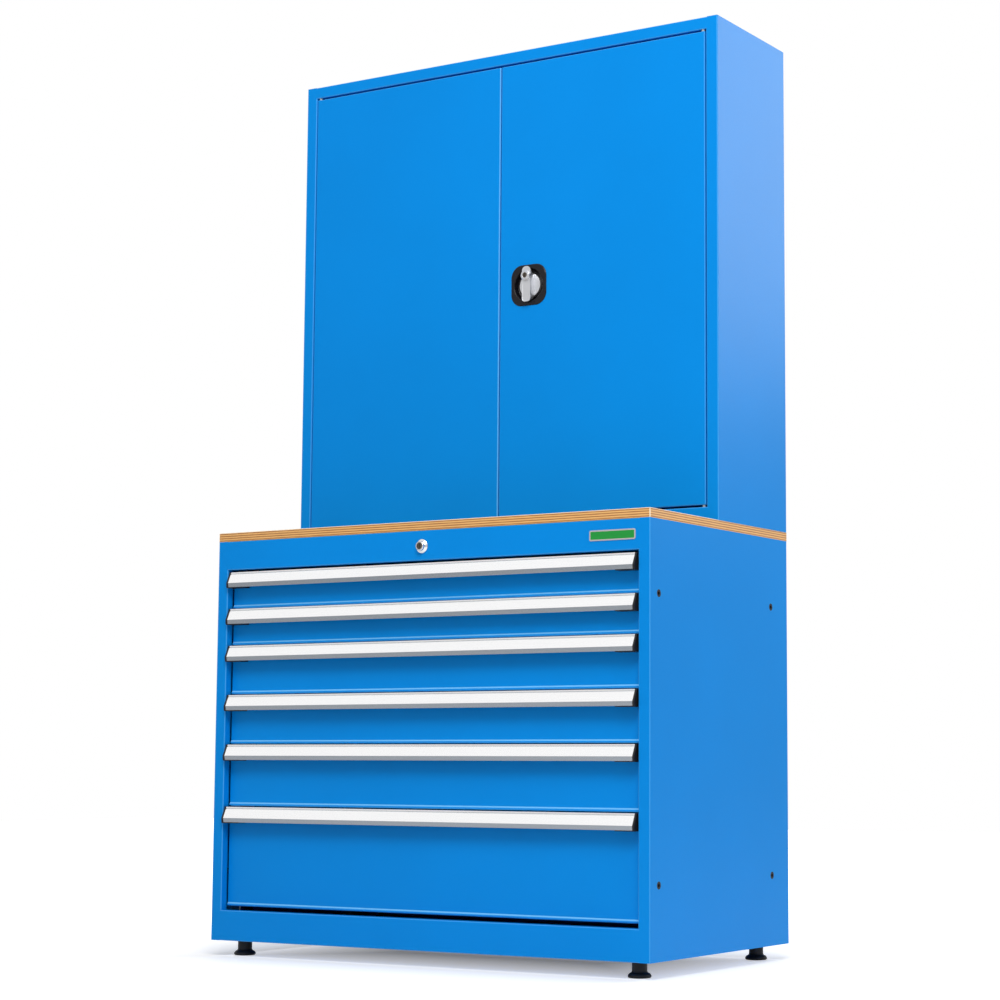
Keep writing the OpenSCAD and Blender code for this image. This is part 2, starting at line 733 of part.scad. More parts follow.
// Right-hand door as a folded pan with a stiffener and hinge bosses
module door() {
    mid = (door_x0 + door_x1) / 2;
    y = upper_front + sheet;
    difference() {
        union() {
            difference() {
                door_block(0, door_back);
                door_block(sheet, door_back + 1);
            }
            for (x = [door_x0 + eps, door_x1 - door_return])
                slab([x, door_back - sheet, door_low + eps],
                     [x + door_return - eps, door_back, door_high - eps]);
            for (z = [door_low, door_high - pin_deep - 2])
                translate([pin_x, pin_y, z]) cylinder(r = boss_r, h = pin_deep + 2);
        }
        for (z = [door_low - 1, door_high - pin_deep - 1]) translate([pin_x, pin_y, z])
            cylinder(r = pin_r + run, h = pin_deep + 2);
    }
    along_z(door_low + 25, door_high - 25) fold([
        [mid - 40, y], [mid - 25, y], [mid - 25, y + 14], [mid + 25, y + 14],
        [mid + 25, y], [mid + 40, y]], sheet);
}

module left_door() color(blue) mirror([1, 0, 0]) door();

module right_door() color(blue) difference() {
    door();
    at_handle() translate([0, 0, -5]) cylinder(r = dish_r + 1.2, h = 10);
    rod_hole(handle_x + rod_x, door_high);
    rod_hole(handle_x - rod_x, door_low);
}

// Rounded square dish with a round hollow for the fingers
module handle_dish() color(black) at_handle() difference() {
    union() {
        hull() {
            linear_extrude(1.2) rounded_square(dish_side, dish_side * 0.3, $fn = 32);
            linear_extrude(2.5) rounded_square(dish_side - 3, dish_side * 0.3 - 1.5, $fn = 32);
        }
        translate([0, 0, -dish_deep - dish_wall]) cylinder(r = dish_r + 1, h = dish_deep + 3);
    }
    rotate_extrude() polygon(rounded([[0, -dish_deep, 0], [dish_r - 3, -dish_deep, 3],
        [dish_r - 1, 1.5, 0], [dish_r, 2.6, 0], [0, 2.6, 0]]));
    translate([0, 0, -dish_deep - dish_wall - 1]) cylinder(r = spindle_r + run, h = 9);
}

// Bracket behind the dish that carries the spindle's end, and the rods' guides
module lock_case() color(zinc) {
    at_handle() difference() {
        rotate([90, 0, 0]) translate([0, 0, -case_half]) linear_extrude(2 * case_half) fold([
            [case_x + case_flange, -sheet], [case_x, -sheet], [case_x, case_out],
            [-case_x, case_out], [-case_x, -sheet], [-case_x - case_flange, -sheet]], case_t);
        translate([0, 0, case_out - 3]) cylinder(r = spindle_r + run, h = 6);
    }
    for (end = [-1, 1]) let (x = handle_x + end * rod_x)
        for (z = [handle_z + end * guide_near,
                  end > 0 ? door_high - guide_far : door_low + guide_far])
            difference() {
                inner = guide_half_w - guide_side;
                over = guide_half_h + 1;
                slab([x - guide_half_w, upper_front + sheet, z - guide_half_h],
                     [x + guide_half_w, door_back + guide_back, z + guide_half_h]);
                slab([x - rod_w / 2 - seat, upper_front - rod_out - rod_t - seat, z - over],
                     [x + rod_w / 2 + seat, upper_front - rod_out + seat, z + over]);
                slab([x - inner, upper_front, z - over],
                     [x + inner, upper_front - rod_out - rod_t - seat - guide_side, z + over]);
            }
}

// Wing handle with its round foot, spindle and the seat of the key plug
module handle_wing() color(silver) at_handle() difference() {
    union() {
        rotate_extrude() polygon(rounded([[0, seat - dish_deep, 0],
            [25, seat - dish_deep, 0.8], [25, -5, 2], [14, -2.4, 3], [0, -2, 0]]));
        hull() {
            translate([0, 0, -4]) linear_extrude(1) stadium(44, wing_w);
            translate([0, 0, 4]) linear_extrude(1) stadium(wing_len - 12, wing_w);
        }
        hull() {
            translate([0, 0, 4]) linear_extrude(1) stadium(wing_len - 12, wing_w);
            translate([0, 0, 11]) linear_extrude(1) stadium(wing_len, wing_w);
            translate([0, -1, wing_proud - 2]) linear_extrude(2)
                stadium(wing_len - 6, wing_w - 6);
        }
        translate([0, key_up, 11]) cylinder(r = key_r + 3.5, h = wing_proud - 11 + 1);
        translate([0, 0, case_out - case_t]) cylinder(r = spindle_r, h = -case_out);
    }
    translate([0, key_up, 7]) cylinder(r = key_r + run, h = wing_proud);
}

// Cam disc on the spindle with the two pins that drive the rods
module handle_cam() color(zinc) at_handle() {
    difference() {
        translate([0, 0, cam_out]) cylinder(r = crank_r + drive_r + 2, h = cam_thick);
        translate([0, 0, cam_out - 1]) cylinder(r = spindle_r, h = cam_thick + 2);
    }
    for (k = [-1, 1]) translate([k * crank_side, -k * crank_side, cam_out + cam_thick - eps])
        cylinder(r = drive_r, h = rod_t + 1);
}

// Key plug in the wing
module handle_key() color(zinc) at_handle() translate([0, key_up, 0]) difference() {
    translate([0, 0, 7 + seat]) cylinder(r = key_r, h = wing_proud - 7);
    translate([-0.8, -4, wing_proud - 2.6]) cube([1.6, 8, 6]);
}

// Rod above or below the cam: a slotted end behind the dish and a flat bar
module rod(end, tip) along_y(upper_front - rod_out - rod_t, upper_front - rod_out)
    difference() {
        x = handle_x + end * rod_x;
        pin_z = handle_z - end * crank_side;
        slot_w = crank_r - crank_side + 2 * (drive_r + loose);
        slot_x = handle_x + end * (crank_side + crank_r) / 2;
        union() {
            translate([slot_x, pin_z]) square([slot_w + 3.6, 2 * (drive_r + loose) + 8],
                                              center = true);
            translate([x - rod_w / 2, min(pin_z, tip + end * 5)])
                square([rod_w, abs(tip - end * 5 - pin_z)]);
            translate([x - rod_w / 2 + 1.5, min(pin_z, tip)])
                square([rod_w - 3, abs(tip - pin_z)]);
        }
        translate([slot_x, pin_z]) square([slot_w, 2 * (drive_r + loose)], center = true);
    }

module upper_rod() color(zinc) rod(1, door_high - rod_hide);
module lower_rod() color(zinc) rod(-1, door_low + rod_hide);

// ---------------------------------------------------------------- drawers

// Front, tub, inner slide members and the lug for the locking bar, as one weldment
module drawer_box(i) color(blue) {
    z0 = bay_z(i) + tub_up;
    z1 = bay_top(i) - tub_down;
    low = bay_z(i) + kick_up;
    high = bay_top(i) - 3;
    zs = bay_z(i) + slide_up;
    hs = slide_h / 2 - slide_wall - nest - slide_in - nest;
    along_x(-front_x, front_x) fold([
        [face_y + front_return + eps, high], [face_y, high], [face_y, low + kick_h],
        [face_y - kick_out, low], [face_y + 8, low]], sheet);
    both_sides() {
        slab([front_x - sheet, face_y + sheet / 2, low + kick_h + 1],
             [front_x, tub_y0, high - sheet / 2]);
        slab([tub_x - 15, tub_y0 - sheet, z0 + 2], [front_x - eps, tub_y0 + eps, z1 - 2]);
        along_y(slide_y0, slide_y1) fold([
            [open_x - slide_wall - nest - slide_in - nest, zs + hs],
            [tub_x - eps, zs + hs], [tub_x - eps, zs - hs],
            [open_x - slide_wall - nest - slide_in - nest, zs - hs]], slide_in);
    }
    along_y(tub_y0, tub_y1) fold([
        [tub_hem - tub_x, z1], [-tub_x, z1], [-tub_x, z0], [tub_x, z0], [tub_x, z1],
        [tub_x - tub_hem, z1]], sheet);
    for (y = [tub_y0, tub_y1 - sheet])
        slab([1 - tub_x, y, z0 + 1], [tub_x - 1, y + sheet, z1 - sheet / 2]);
    slab([tub_x - eps, face_y + sheet / 2, bay_z(i) + lug_up],
         [tub_x + 2, bar_y1 + 2, bay_z(i) + lug_up + lug_h]);
    slab([tub_x, bar_y1 - 0.5, bay_z(i) + lug_up],
         [bar_x - 4.5, bar_y1 + 2, bay_z(i) + lug_up + lug_h]);
}

// Aluminium grip: lip with a groove, sloping label face, ridge and finger edge
module drawer_handle(i) color(silver) {
    z = bay_top(i) - 1.5;
    ridge = grip_proud - 0.5;
    slope = (ridge - 0.3) / (grip_ridge - 4.6);
    along_x(cap_t - front_x, front_x - cap_t) translate([front, z]) polygon(rounded([
        [recess, 0, 0], [1.3, 0, 0.5], [0.3, -3.2, 0.3], [1, -3.5, 0], [0.7, -4.4, 0],
        [-0.3, -4.6, 0.3], [-ridge, -grip_ridge, 1.6], [1.2 - ridge, -grip_h, 0.8],
        [1.2 - ridge + grip_wall + 0.4, -grip_h, 0.8],
        [grip_wall + 0.2 - ridge, -grip_ridge - slope, 0.8],
        [grip_wall - 0.4, -4.6 - slope, 1], [grip_wall + 1, -grip_wall, 0],
        [recess - 2, -grip_wall, 1], [recess - 2, -26, 0], [recess, -26, 0]]));
}

// Black end caps with plugs that fill the ends of the grip
module drawer_caps(i) color(black) {
    z = bay_top(i) - 1.5;
    both_sides() {
        along_x(front_x - cap_t, front_x) translate([front, z]) polygon(rounded([
            [recess, 0.4, 0], [1, 0.4, 1], [-0.5, -4.2, 1],
            [-grip_proud, -grip_ridge, 2], [0.9 - grip_proud, -grip_h - 1.4, 2],
            [recess, -grip_h - 1.4, 0]]));
        along_x(front_x - cap_t - plug_len, front_x - cap_t + eps) translate([front, z])
            polygon([[recess - 2.4, -grip_wall - 0.6], [grip_wall + 2, -grip_wall - 0.6],
                [grip_wall + 0.6, -5.6], [grip_wall + 0.8 - grip_proud + 0.5, -grip_ridge - 1],
                [grip_wall + 2.2 - grip_proud + 0.5, -grip_h - 0.2],
                [1.6 - grip_proud, -grip_h - 0.2], [1.6 - grip_proud, -grip_h - 1.4],
                [recess - 2.4, -grip_h - 1.4]]);
    }
}

// Middle members of the slides, which travel half as far as the drawer
module middle_rails(i) color(zinc) both_sides() {
    z = bay_z(i) + slide_up;
    h = slide_h / 2 - slide_wall - nest;
    x = open_x - slide_wall - nest;
    along_y(slide_y0, slide_y1) fold([[tub_x + nest, z - h], [x, z - h], [x, z + h],
        [tub_x + nest, z + h]], slide_in);
}

// ---------------------------------------------------------------- pieces

mirror([1, 0, 0]) base_side();  // base_side_left
base_side();  // base_side_right
base_top();
base_floor();
base_back();
drawer_rails();
side_inserts();
worktop();
fasteners();
lock_barrel();
lock_plug();
transfer_bar();
locking_bar();
foot(-foot_x, foot_y[0]);  // foot_front_left
foot(foot_x, foot_y[0]);  // foot_front_right
foot(-foot_x, foot_y[1]);  // foot_rear_left
foot(foot_x, foot_y[1]);  // foot_rear_right
mirror([1, 0, 0]) upper_side();  // upper_side_left
upper_side();  // upper_side_right
upper_top();
upper_bottom();
upper_back();
shelf_strips();
shelf_clips();
shelves();
hinge_pins();
hinge_bushes();
left_door();
right_door();
handle_dish();
lock_case();
handle_wing();
handle_cam();
handle_key();
upper_rod();
lower_rod();
for (i = [0 : 5]) {
    drawer_box(i);
    drawer_handle(i);
    drawer_caps(i);
    middle_rails(i);
}
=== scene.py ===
"""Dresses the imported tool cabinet: finishes, fine pieces, studio and camera."""

import math

import bmesh
import bpy
from bpy.props import (
    FloatProperty,
    FloatVectorProperty,
    IntProperty,
    PointerProperty,
)
from mathutils import Matrix, Vector


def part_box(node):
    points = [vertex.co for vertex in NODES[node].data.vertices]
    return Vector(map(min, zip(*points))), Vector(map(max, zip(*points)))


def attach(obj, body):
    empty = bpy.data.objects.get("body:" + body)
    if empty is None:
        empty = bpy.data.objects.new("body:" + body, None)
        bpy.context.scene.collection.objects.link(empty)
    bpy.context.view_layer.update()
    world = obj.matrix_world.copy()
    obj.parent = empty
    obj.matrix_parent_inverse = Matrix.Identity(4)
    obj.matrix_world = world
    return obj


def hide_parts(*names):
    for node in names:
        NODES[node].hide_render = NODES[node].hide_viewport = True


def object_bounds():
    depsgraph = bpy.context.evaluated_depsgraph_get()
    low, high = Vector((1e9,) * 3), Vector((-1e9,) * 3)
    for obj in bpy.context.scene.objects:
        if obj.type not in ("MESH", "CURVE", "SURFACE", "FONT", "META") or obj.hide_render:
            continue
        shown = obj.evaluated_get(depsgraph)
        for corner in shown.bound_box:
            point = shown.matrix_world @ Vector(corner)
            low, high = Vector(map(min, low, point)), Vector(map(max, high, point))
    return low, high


bl_info = {
    "name": "Tool cabinet dressing",
    "version": (1, 0, 0),
    "blender": (4, 5, 0),
    "location": "View3D > Sidebar > Cabinet",
    "description": "Finishes, fine pieces, studio and camera for a tool cabinet",
    "category": "Object",
}

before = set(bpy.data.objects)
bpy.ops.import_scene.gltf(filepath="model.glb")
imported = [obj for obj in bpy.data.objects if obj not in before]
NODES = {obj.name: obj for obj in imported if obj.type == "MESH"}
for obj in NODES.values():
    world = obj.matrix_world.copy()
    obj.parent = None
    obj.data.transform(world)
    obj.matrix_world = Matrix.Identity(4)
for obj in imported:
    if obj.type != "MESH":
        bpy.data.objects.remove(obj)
CAD_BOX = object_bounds()
WORKTOP_LOW, WORKTOP_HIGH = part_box("worktop")
DISH_LOW, DISH_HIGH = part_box("handle_dish")
DOOR_LOW, DOOR_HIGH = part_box("left_door")
DOOR_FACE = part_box("right_door")[0].y
FASCIA_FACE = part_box("base_top")[0].y
RECESS = 0.0175  # the drawer fronts lie so far behind the fascia
DRAWER_FACE = FASCIA_FACE + RECESS
SLACK = 0.0002  # margin past a face where a tint ends, and play round a plug
HAIR = 0.0001  # gap that keeps two faces from sharing a plane


# ---------------------------------------------------------------- sizes and colours


def colour(label, about, value):
    """A colour setting in the sidebar."""
    return FloatVectorProperty(
        name=label, description=about, subtype="COLOR", size=3, min=0, max=1, default=value
    )


def length(label, about, value):
    """A length setting in metres."""
    return FloatProperty(
        name=label, description=about, subtype="DISTANCE", unit="LENGTH", default=value
    )


def share(label, about, value, top=1.0):
    """A plain factor between nothing and its top."""
    return FloatProperty(name=label, description=about, min=0, max=top, default=value)


class PaintSettings(bpy.types.PropertyGroup):
    """The powder coat on all the sheet metal."""

    blue: colour("Blue", "Colour of the powder coat", (0.0, 0.25, 0.74))
    roughness: share("Roughness", "Mean roughness of the powder coat", 0.36)
    peel: length("Peel", "Height of the powder coat's fine waves", 0.00012)
    # The fold, crest and seam factors and the pale colour paint highlights: a paler coat where
    # folds and edges would catch the light.
    fold_highlight: share("Fold light", "How much paler the coat is on the folds", 0.24)
    crest_highlight_strength: share("Crest light", "How much paler the drawers' flared edge is on top", 0.75)
    seam_highlight_strength: share("Seam light", "How much paler the coat is where the doors meet", 0.5)
    kick: length("Kick", "Reach of the drawers' flared edge", 0.0045)
    crest_highlight: length("Crest", "Width of the pale line on the flared edge", 0.0018)
    seam: length("Seam", "Width of the pale line where the doors meet", 0.0018)
    pale: colour("Pale", "Colour of the coat on the folds", (0.22, 0.62, 0.98))


class MetalSettings(bpy.types.PropertyGroup):
    """Bare and plated metals."""

    # The lighter colour goes on the grips' upward slope; the darker one is painted shade on the
    # lips and lower facet.
    aluminium: colour("Aluminium", "Colour of the grips' polished slope", (0.93, 0.93, 0.935))
    edges: colour("Aluminium edges", "Colour of the grips' duller lips", (0.33, 0.36, 0.40))
    zinc: colour("Zinc", "Colour of slides, rods and fasteners", (0.60, 0.62, 0.64))
    nickel: colour("Nickel", "Colour of the drawers' lock", (0.78, 0.79, 0.80))
    wing: colour("Wing", "Colour of the cast wing handle", (0.66, 0.67, 0.70))
    bronze: colour("Bronze", "Colour of both locks' plugs", (0.075, 0.062, 0.05))


class MouldingSettings(bpy.types.PropertyGroup):
    """Plastic pieces."""

    black: colour("Black", "Colour of caps, inserts and feet", (0.012, 0.012, 0.014))
    dish: colour("Dish", "Colour of the glossy dish", (0.006, 0.006, 0.009))
    nylon: colour("Nylon", "Colour of the hinge bushes", (0.34, 0.36, 0.36))


class PlywoodSettings(bpy.types.PropertyGroup):
    """The worktop's veneers."""

    light: colour("Light ply", "Veneers cut along the grain", (0.80, 0.46, 0.16))
    dark: colour("Dark ply", "Veneers cut across the grain", (0.40, 0.15, 0.04))
    face: colour("Face", "The lacquered face veneer", (0.70, 0.50, 0.28))
    # The pale band on the arrises is a painted highlight along the board's edges.
    arris_highlight: colour("Cream", "The sanded arrises", (0.92, 0.74, 0.52))
    arris: length("Arris", "Width of the sanded arrises", 0.0016)
    plies: IntProperty(name="Plies", description="Veneers in the board", min=3, default=9)


class BadgeSettings(bpy.types.PropertyGroup):
    """The bare plate on the fascia."""

    width: length("Width", "Width of the plate", 0.0993)
    height: length("Height", "Height of the plate", 0.0199)
    side: length("From the middle", "Middle of the plate, to the right", 0.4312)
    up: length("Height of middle", "Middle of the plate over the floor", 0.8066)
    thick: length("Thickness", "Thickness of the plate", 0.0012)
    corner: length("Corner", "Radius of the plate's corners", 0.0035)
    silver: colour("Silver", "Colour of the plate", (0.50, 0.46, 0.48))
    green: colour("Green", "Colour of the plain field", (0.0, 0.27, 0.03))
    rim: length("Rim", "Width of the rim round the field", 0.0021)
    sunk: length("Sunk", "Depth of the field under the rim", 0.00025)


class WingSettings(bpy.types.PropertyGroup):
    """The wing handle of the doors."""

    above: length("Above", "Reach of the wing over its spindle", 0.0375)
    below: length("Below", "Reach of the wing under its spindle", 0.0360)
    width: length("Width", "Width of the wing", 0.0204)
    proud: length("Proud", "Distance of the wing's front before the doors", 0.0112)
    boss: length("Boss", "Distance of the key boss's front before the doors", 0.0164)
    key_up: length("Key height", "Height of the key over the spindle", 0.018)
    boss_radius: length("Boss radius", "Radius of the key boss", 0.0103)
    bore: length("Bore", "Radius of the key's bore in the boss", 0.0054)
    foot: length("Foot", "Radius of the round foot in the dish", 0.0250)


class DishSettings(bpy.types.PropertyGroup):
    """The dish round the wing handle."""

    corner: length("Corner", "Radius of the dish's corners", 0.0255)
    hollow: length("Hollow", "Radius of the hollow", 0.035)
    depth: length("Depth", "Depth of the hollow behind the doors' face", 0.0105)
    wall: length("Wall", "Thickness of the hollow's floor", 0.0025)
    crown: length("Crown", "Fall of the plate's edge", 0.0014)
    spindle: length("Spindle hole", "Radius of the hole for the spindle", 0.0042)


class FootSettings(bpy.types.PropertyGroup):
    """The levelling feet."""

    disc: length("Disc", "Radius of the disc on the floor", 0.0219)
    body: length("Body", "Radius of the round body over the disc", 0.0142)
    height: length("Height", "Height of the body's top", 0.0306)
    stem: length("Stem", "Radius of the stem over its thread", 0.0050)
    thread: length("Thread", "Depth of the thread", 0.0006)
    pitch: length("Pitch", "Distance between the thread's turns", 0.0015)
    turns: IntProperty(name="Turns", description="Turns of the thread", min=1, default=29)


class LockSettings(bpy.types.PropertyGroup):
    """The drawers' lock."""

    flange: length("Flange", "Radius of the flange on the fascia", 0.0139)
    proud: length("Proud", "Distance of the collar's front before the fascia", 0.0092)


class RivetSettings(bpy.types.PropertyGroup):
    """Rivets along the back panels."""

    pitch: length("Pitch", "Distance between rivets", 0.12)
    radius: length("Radius", "Radius of a rivet's head", 0.0032)
    inset: length("Inset", "Distance of the rows from the sides", 0.011)


class StudioSettings(bpy.types.PropertyGroup):
    """Camera, lamps, floor and background."""

    lens: FloatProperty(name="Lens", description="Focal length", unit="CAMERA", default=83.76)
    key: share("Key lamp", "Power of the soft box over the camera, in watts", 145, 999)
    behind: share("Rear lamp", "Power of the soft box behind on the right, in watts", 70, 999)
    sky: share("Ambient", "Strength of the even light from all round", 0.40, 3)
    white: share("Background", "Strength of the background that is seen and mirrored", 1.0, 3)
    glow: share("Floor", "Strength of the floor's own white beside the cabinet", 0.5, 3)
    # Underneath, shadow edge and light edge set a painted shadow: the floor's own white fades under
    # the cabinet.
    under: share("Underneath", "Strength of the floor's own white deep under the cabinet", 0.05)
    edge: share("Shadow edge", "Strength of the floor's own white inside the shadow's edge", 0.54)
    dip: share("Light edge", "Strength of the floor's own white outside the shadow's edge", 0.26)
    room: share("Room", "Strength of the room at eye height in mirrored rays", 0.55, 3)


SETTINGS = {
    "cabinet_paint": PaintSettings,
    "cabinet_metal": MetalSettings,
    "cabinet_moulding": MouldingSettings,
    "cabinet_plywood": PlywoodSettings,
    "cabinet_badge": BadgeSettings,
    "cabinet_wing": WingSettings,
    "cabinet_dish": DishSettings,
    "cabinet_foot": FootSettings,
    "cabinet_lock": LockSettings,
    "cabinet_rivets": RivetSettings,
    "cabinet_studio": StudioSettings,
}


# ---------------------------------------------------------------- shader helpers


class Finish:
    """A material with its Principled shader and short calls that add nodes."""

    def __init__(self, name, base, roughness, metallic=0.0):
        self.material = bpy.data.materials.new(name)
        self.material.use_nodes = True
        self.tree = self.material.node_tree
        self.shader = self.tree.nodes["Principled BSDF"]
        self.set("Base Color", (*base, 1.0))
        self.set("Roughness", roughness)
        self.set("Metallic", metallic)
        self.object_place = self.add("ShaderNodeTexCoord").outputs["Object"]

    def set(self, socket, value):
        """Write a constant on the shader, or link a node's output to it."""
        target = self.shader.inputs[socket]
        if isinstance(value, bpy.types.NodeSocket):
            self.tree.links.new(value, target)
        else:
            target.default_value = value

    def add(self, kind, links=None, **values):
        """Add a node; links and values are given by input name or node attribute."""
        node = self.tree.nodes.new(kind)
        for name, value in values.items():
            if hasattr(node, name):
                setattr(node, name, value)
            else:
                node.inputs[name.replace("_", " ")].default_value = value
        for name, socket in (links or {}).items():
            self.tree.links.new(socket, node.inputs[name])
        return node

    def stretched(self, scale):
        """Object coordinates with each axis scaled."""
        return self.add("ShaderNodeMapping", {"Vector": self.object_place}, Scale=scale).outputs[0]

    def noise(self, scale, detail=2.0, place=None):
        """Noise value, at so many waves in a metre."""
        return self.add(
            "ShaderNodeTexNoise",
            {"Vector": place or self.object_place},
            Scale=scale,
            Detail=detail,
        ).outputs["Fac"]

    def spread(self, value, low, high, start=0.3, end=0.7):
        """Map a noise value to a range."""
        node = self.add("ShaderNodeMapRange", {"Value": value})
        node.inputs["From Min"].default_value = start
        node.inputs["From Max"].default_value = end
        node.inputs["To Min"].default_value = low
        node.inputs["To Max"].default_value = high
        return node.outputs["Result"]

    def blend(self, factor, first, second):
        """Mix two colours, given as values or sockets."""
        node = self.add("ShaderNodeMix", data_type="RGBA")
        sockets = (node.inputs[0], node.inputs[6], node.inputs[7])
        for socket, value in zip(sockets, (factor, first, second)):
            if isinstance(value, bpy.types.NodeSocket):
                self.tree.links.new(value, socket)
            elif hasattr(value, "__len__"):
                socket.default_value = (*value, 1.0)
            else:
                socket.default_value = value
        return node.outputs[2]

    def normal_parts(self):
        """The sizes of the surface normal's three parts, in the object's own axes."""
        parts = self.parts(self.add("ShaderNodeTexCoord").outputs["Normal"])
        return tuple(self.math("ABSOLUTE", parts[axis]) for axis in "XYZ")

    def within(self, value, low, high):
        """One where a value lies between two bounds, else nothing."""
        return self.math("COMPARE", value, (low + high) / 2, (high - low) / 2)

    def all_of(self, first, *others):
        """The product of some values."""
        for other in others:
            first = self.math("MULTIPLY", first, other)
        return first

    def parts(self, vector):
        """The three parts of a vector, by axis."""
        return self.add("ShaderNodeSeparateXYZ", {"Vector": vector}).outputs

    def bump(self, height, distance, strength=1.0, under=None):
        """Bump from a height value, over another bump where one is given."""
        links = {"Height": height}
        if under:
            links["Normal"] = under
        return self.add("ShaderNodeBump", links, Distance=distance, Strength=strength).outputs[0]

    def math(self, operation, first, second=0.0, third=0.0):
        """A Math node."""
        node = self.add("ShaderNodeMath", operation=operation)
        for socket, value in zip(node.inputs, (first, second, third)):
            if isinstance(value, bpy.types.NodeSocket):
                self.tree.links.new(value, socket)
            else:
                socket.default_value = value
        return node.outputs[0]


def tinted(base, factor):
    """A colour made a little lighter or darker."""
    return tuple(min(1.0, c * factor) for c in base)


def wear(nodes, finish):
    """Give CAD nodes a finish in all their slots."""
    for node in nodes:
        slots = NODES[node].data.materials
        slots.clear()
        slots.append(finish)


def nodes_like(*words):
    """Names of CAD nodes that contain one of the words."""
    return [name for name in sorted(NODES) if any(word in name for word in words)]


# ---------------------------------------------------------------- modelling helpers


def clean_start():
    """Object mode with nothing selected."""
    if bpy.context.object and bpy.context.object.mode != "OBJECT":
        bpy.ops.object.mode_set(mode="OBJECT")
    bpy.ops.object.select_all(action="DESELECT")


def block(low, high):
    """A box between two corners, applied and left in edit mode."""
    clean_start()
    low, high = Vector(low), Vector(high)
    bpy.ops.mesh.primitive_cube_add(size=1.0, location=(low + high) / 2)
    bpy.context.object.scale = high - low
    bpy.ops.object.transform_apply(location=True, rotation=True, scale=True)
    bpy.ops.object.mode_set(mode="EDIT")
    return bpy.context.object


def pick(kind, test):
    """In edit mode, select only the edges or faces that pass a test."""
    mesh = bmesh.from_edit_mesh(bpy.context.object.data)
    bpy.ops.mesh.select_mode(type="EDGE" if kind == "edges" else "FACE")
    bpy.ops.mesh.select_all(action="DESELECT")
    chosen = [item for item in getattr(mesh, kind) if test(item)]
    if not chosen:
        raise RuntimeError("no %s to shape on %s" % (kind, bpy.context.object.name))
    for item in chosen:
        item.select_set(True)
    bmesh.update_edit_mesh(bpy.context.object.data)


def along(edge, axis):
    """Is an edge parallel to an axis?"""
    way = edge.verts[1].co - edge.verts[0].co
    return abs(way[axis]) > 0.999 * way.length


def facing(face, way):
    """Does a face look along a direction?"""
    return face.normal.dot(Vector(way)) > 0.99


def bevel(offset, segments=3, profile=0.5):
    """Round the selected edges."""
    bpy.ops.mesh.bevel(
        offset=offset, offset_type="OFFSET", segments=segments, profile=profile, affect="EDGES"
    )


def turned(centre, axis, profile, steps=64):
    """Extrude a profile of (radius, distance along the axis) and spin it shut."""
    clean_start()
    axis = Vector(axis).normalized()
    side = axis.orthogonal().normalized()
    places = [Vector(centre) + side * radius + axis * far for radius, far in profile]
    bpy.ops.mesh.primitive_plane_add(size=0.002, location=(0, 0, 0))
    bpy.ops.object.mode_set(mode="EDIT")
    bpy.ops.mesh.select_mode(type="VERT")
    bpy.ops.mesh.select_all(action="SELECT")
    bpy.ops.mesh.merge(type="CENTER")
    bpy.ops.transform.translate(value=places[0])
    for here, there in zip(places, places[1:]):
        bpy.ops.mesh.extrude_vertices_move(TRANSFORM_OT_translate={"value": there - here})
    bpy.ops.mesh.select_all(action="SELECT")
    bpy.ops.mesh.spin(steps=steps, angle=2 * math.pi, center=centre, axis=axis)
    bpy.ops.mesh.select_all(action="SELECT")
    bpy.ops.mesh.remove_doubles(threshold=0.000005)
    bpy.ops.mesh.normals_make_consistent(inside=False)
    return bpy.context.object


def cut_or_join(piece, tool, operation):
    """Boolean of two finished shapes, applied; the tool is removed."""
    bpy.ops.object.mode_set(mode="OBJECT")
    clean_start()
    bpy.context.view_layer.objects.active = piece
    piece.select_set(True)
    step = piece.modifiers.new(operation.lower(), "BOOLEAN")
    step.operation, step.object, step.solver = operation, tool, "EXACT"
    bpy.ops.object.modifier_apply(modifier=step.name)
    bpy.data.objects.remove(tool)
    return piece


def edge_round(piece, width, segments=2, angle=35):
    """Round every sharp edge a little with a Bevel modifier, applied."""
    bpy.context.view_layer.objects.active = piece
    step = piece.modifiers.new("edge_round", "BEVEL")
    step.width, step.segments = width, segments
    step.limit_method, step.angle_limit = "ANGLE", math.radians(angle)
    bpy.ops.object.modifier_apply(modifier=step.name)


def finished(piece, name, body, finish, smooth=35):
    """Name a piece, smooth it by angle, give it its finish and tie it to its body."""
    if piece.mode != "OBJECT":
        bpy.ops.object.mode_set(mode="OBJECT")
    clean_start()
    bpy.context.view_layer.objects.active = piece
    piece.select_set(True)
    bpy.ops.object.transform_apply(location=True, rotation=True, scale=True)
    bpy.ops.object.shade_smooth_by_angle(angle=math.radians(smooth))
    step = piece.modifiers.new("even_shading", "WEIGHTED_NORMAL")
    step.keep_sharp = True
    bpy.ops.object.modifier_apply(modifier=step.name)
    piece.name = piece.data.name = name
    if finish:
        piece.data.materials.clear()
        piece.data.materials.append(bpy.data.materials[finish])
    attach(piece, body)
    return piece


def joined(piece, other):
    """Put two closed shapes into one mesh."""
    bpy.ops.object.mode_set(mode="OBJECT")
    clean_start()
    other.select_set(True)
    piece.select_set(True)
    bpy.context.view_layer.objects.active = piece
    bpy.ops.object.join()
    return piece


def copied(piece, name, shift):
    """A copy with its own mesh, moved by a distance that is then applied."""
    clean_start()
    bpy.context.view_layer.objects.active = piece
    piece.select_set(True)
    bpy.ops.object.duplicate(linked=False)
    bpy.ops.transform.translate(value=shift)
    bpy.ops.object.transform_apply(location=True, rotation=True, scale=True)
    bpy.context.object.name = bpy.context.object.data.name = name
    return bpy.context.object


# ---------------------------------------------------------------- operators: finishes


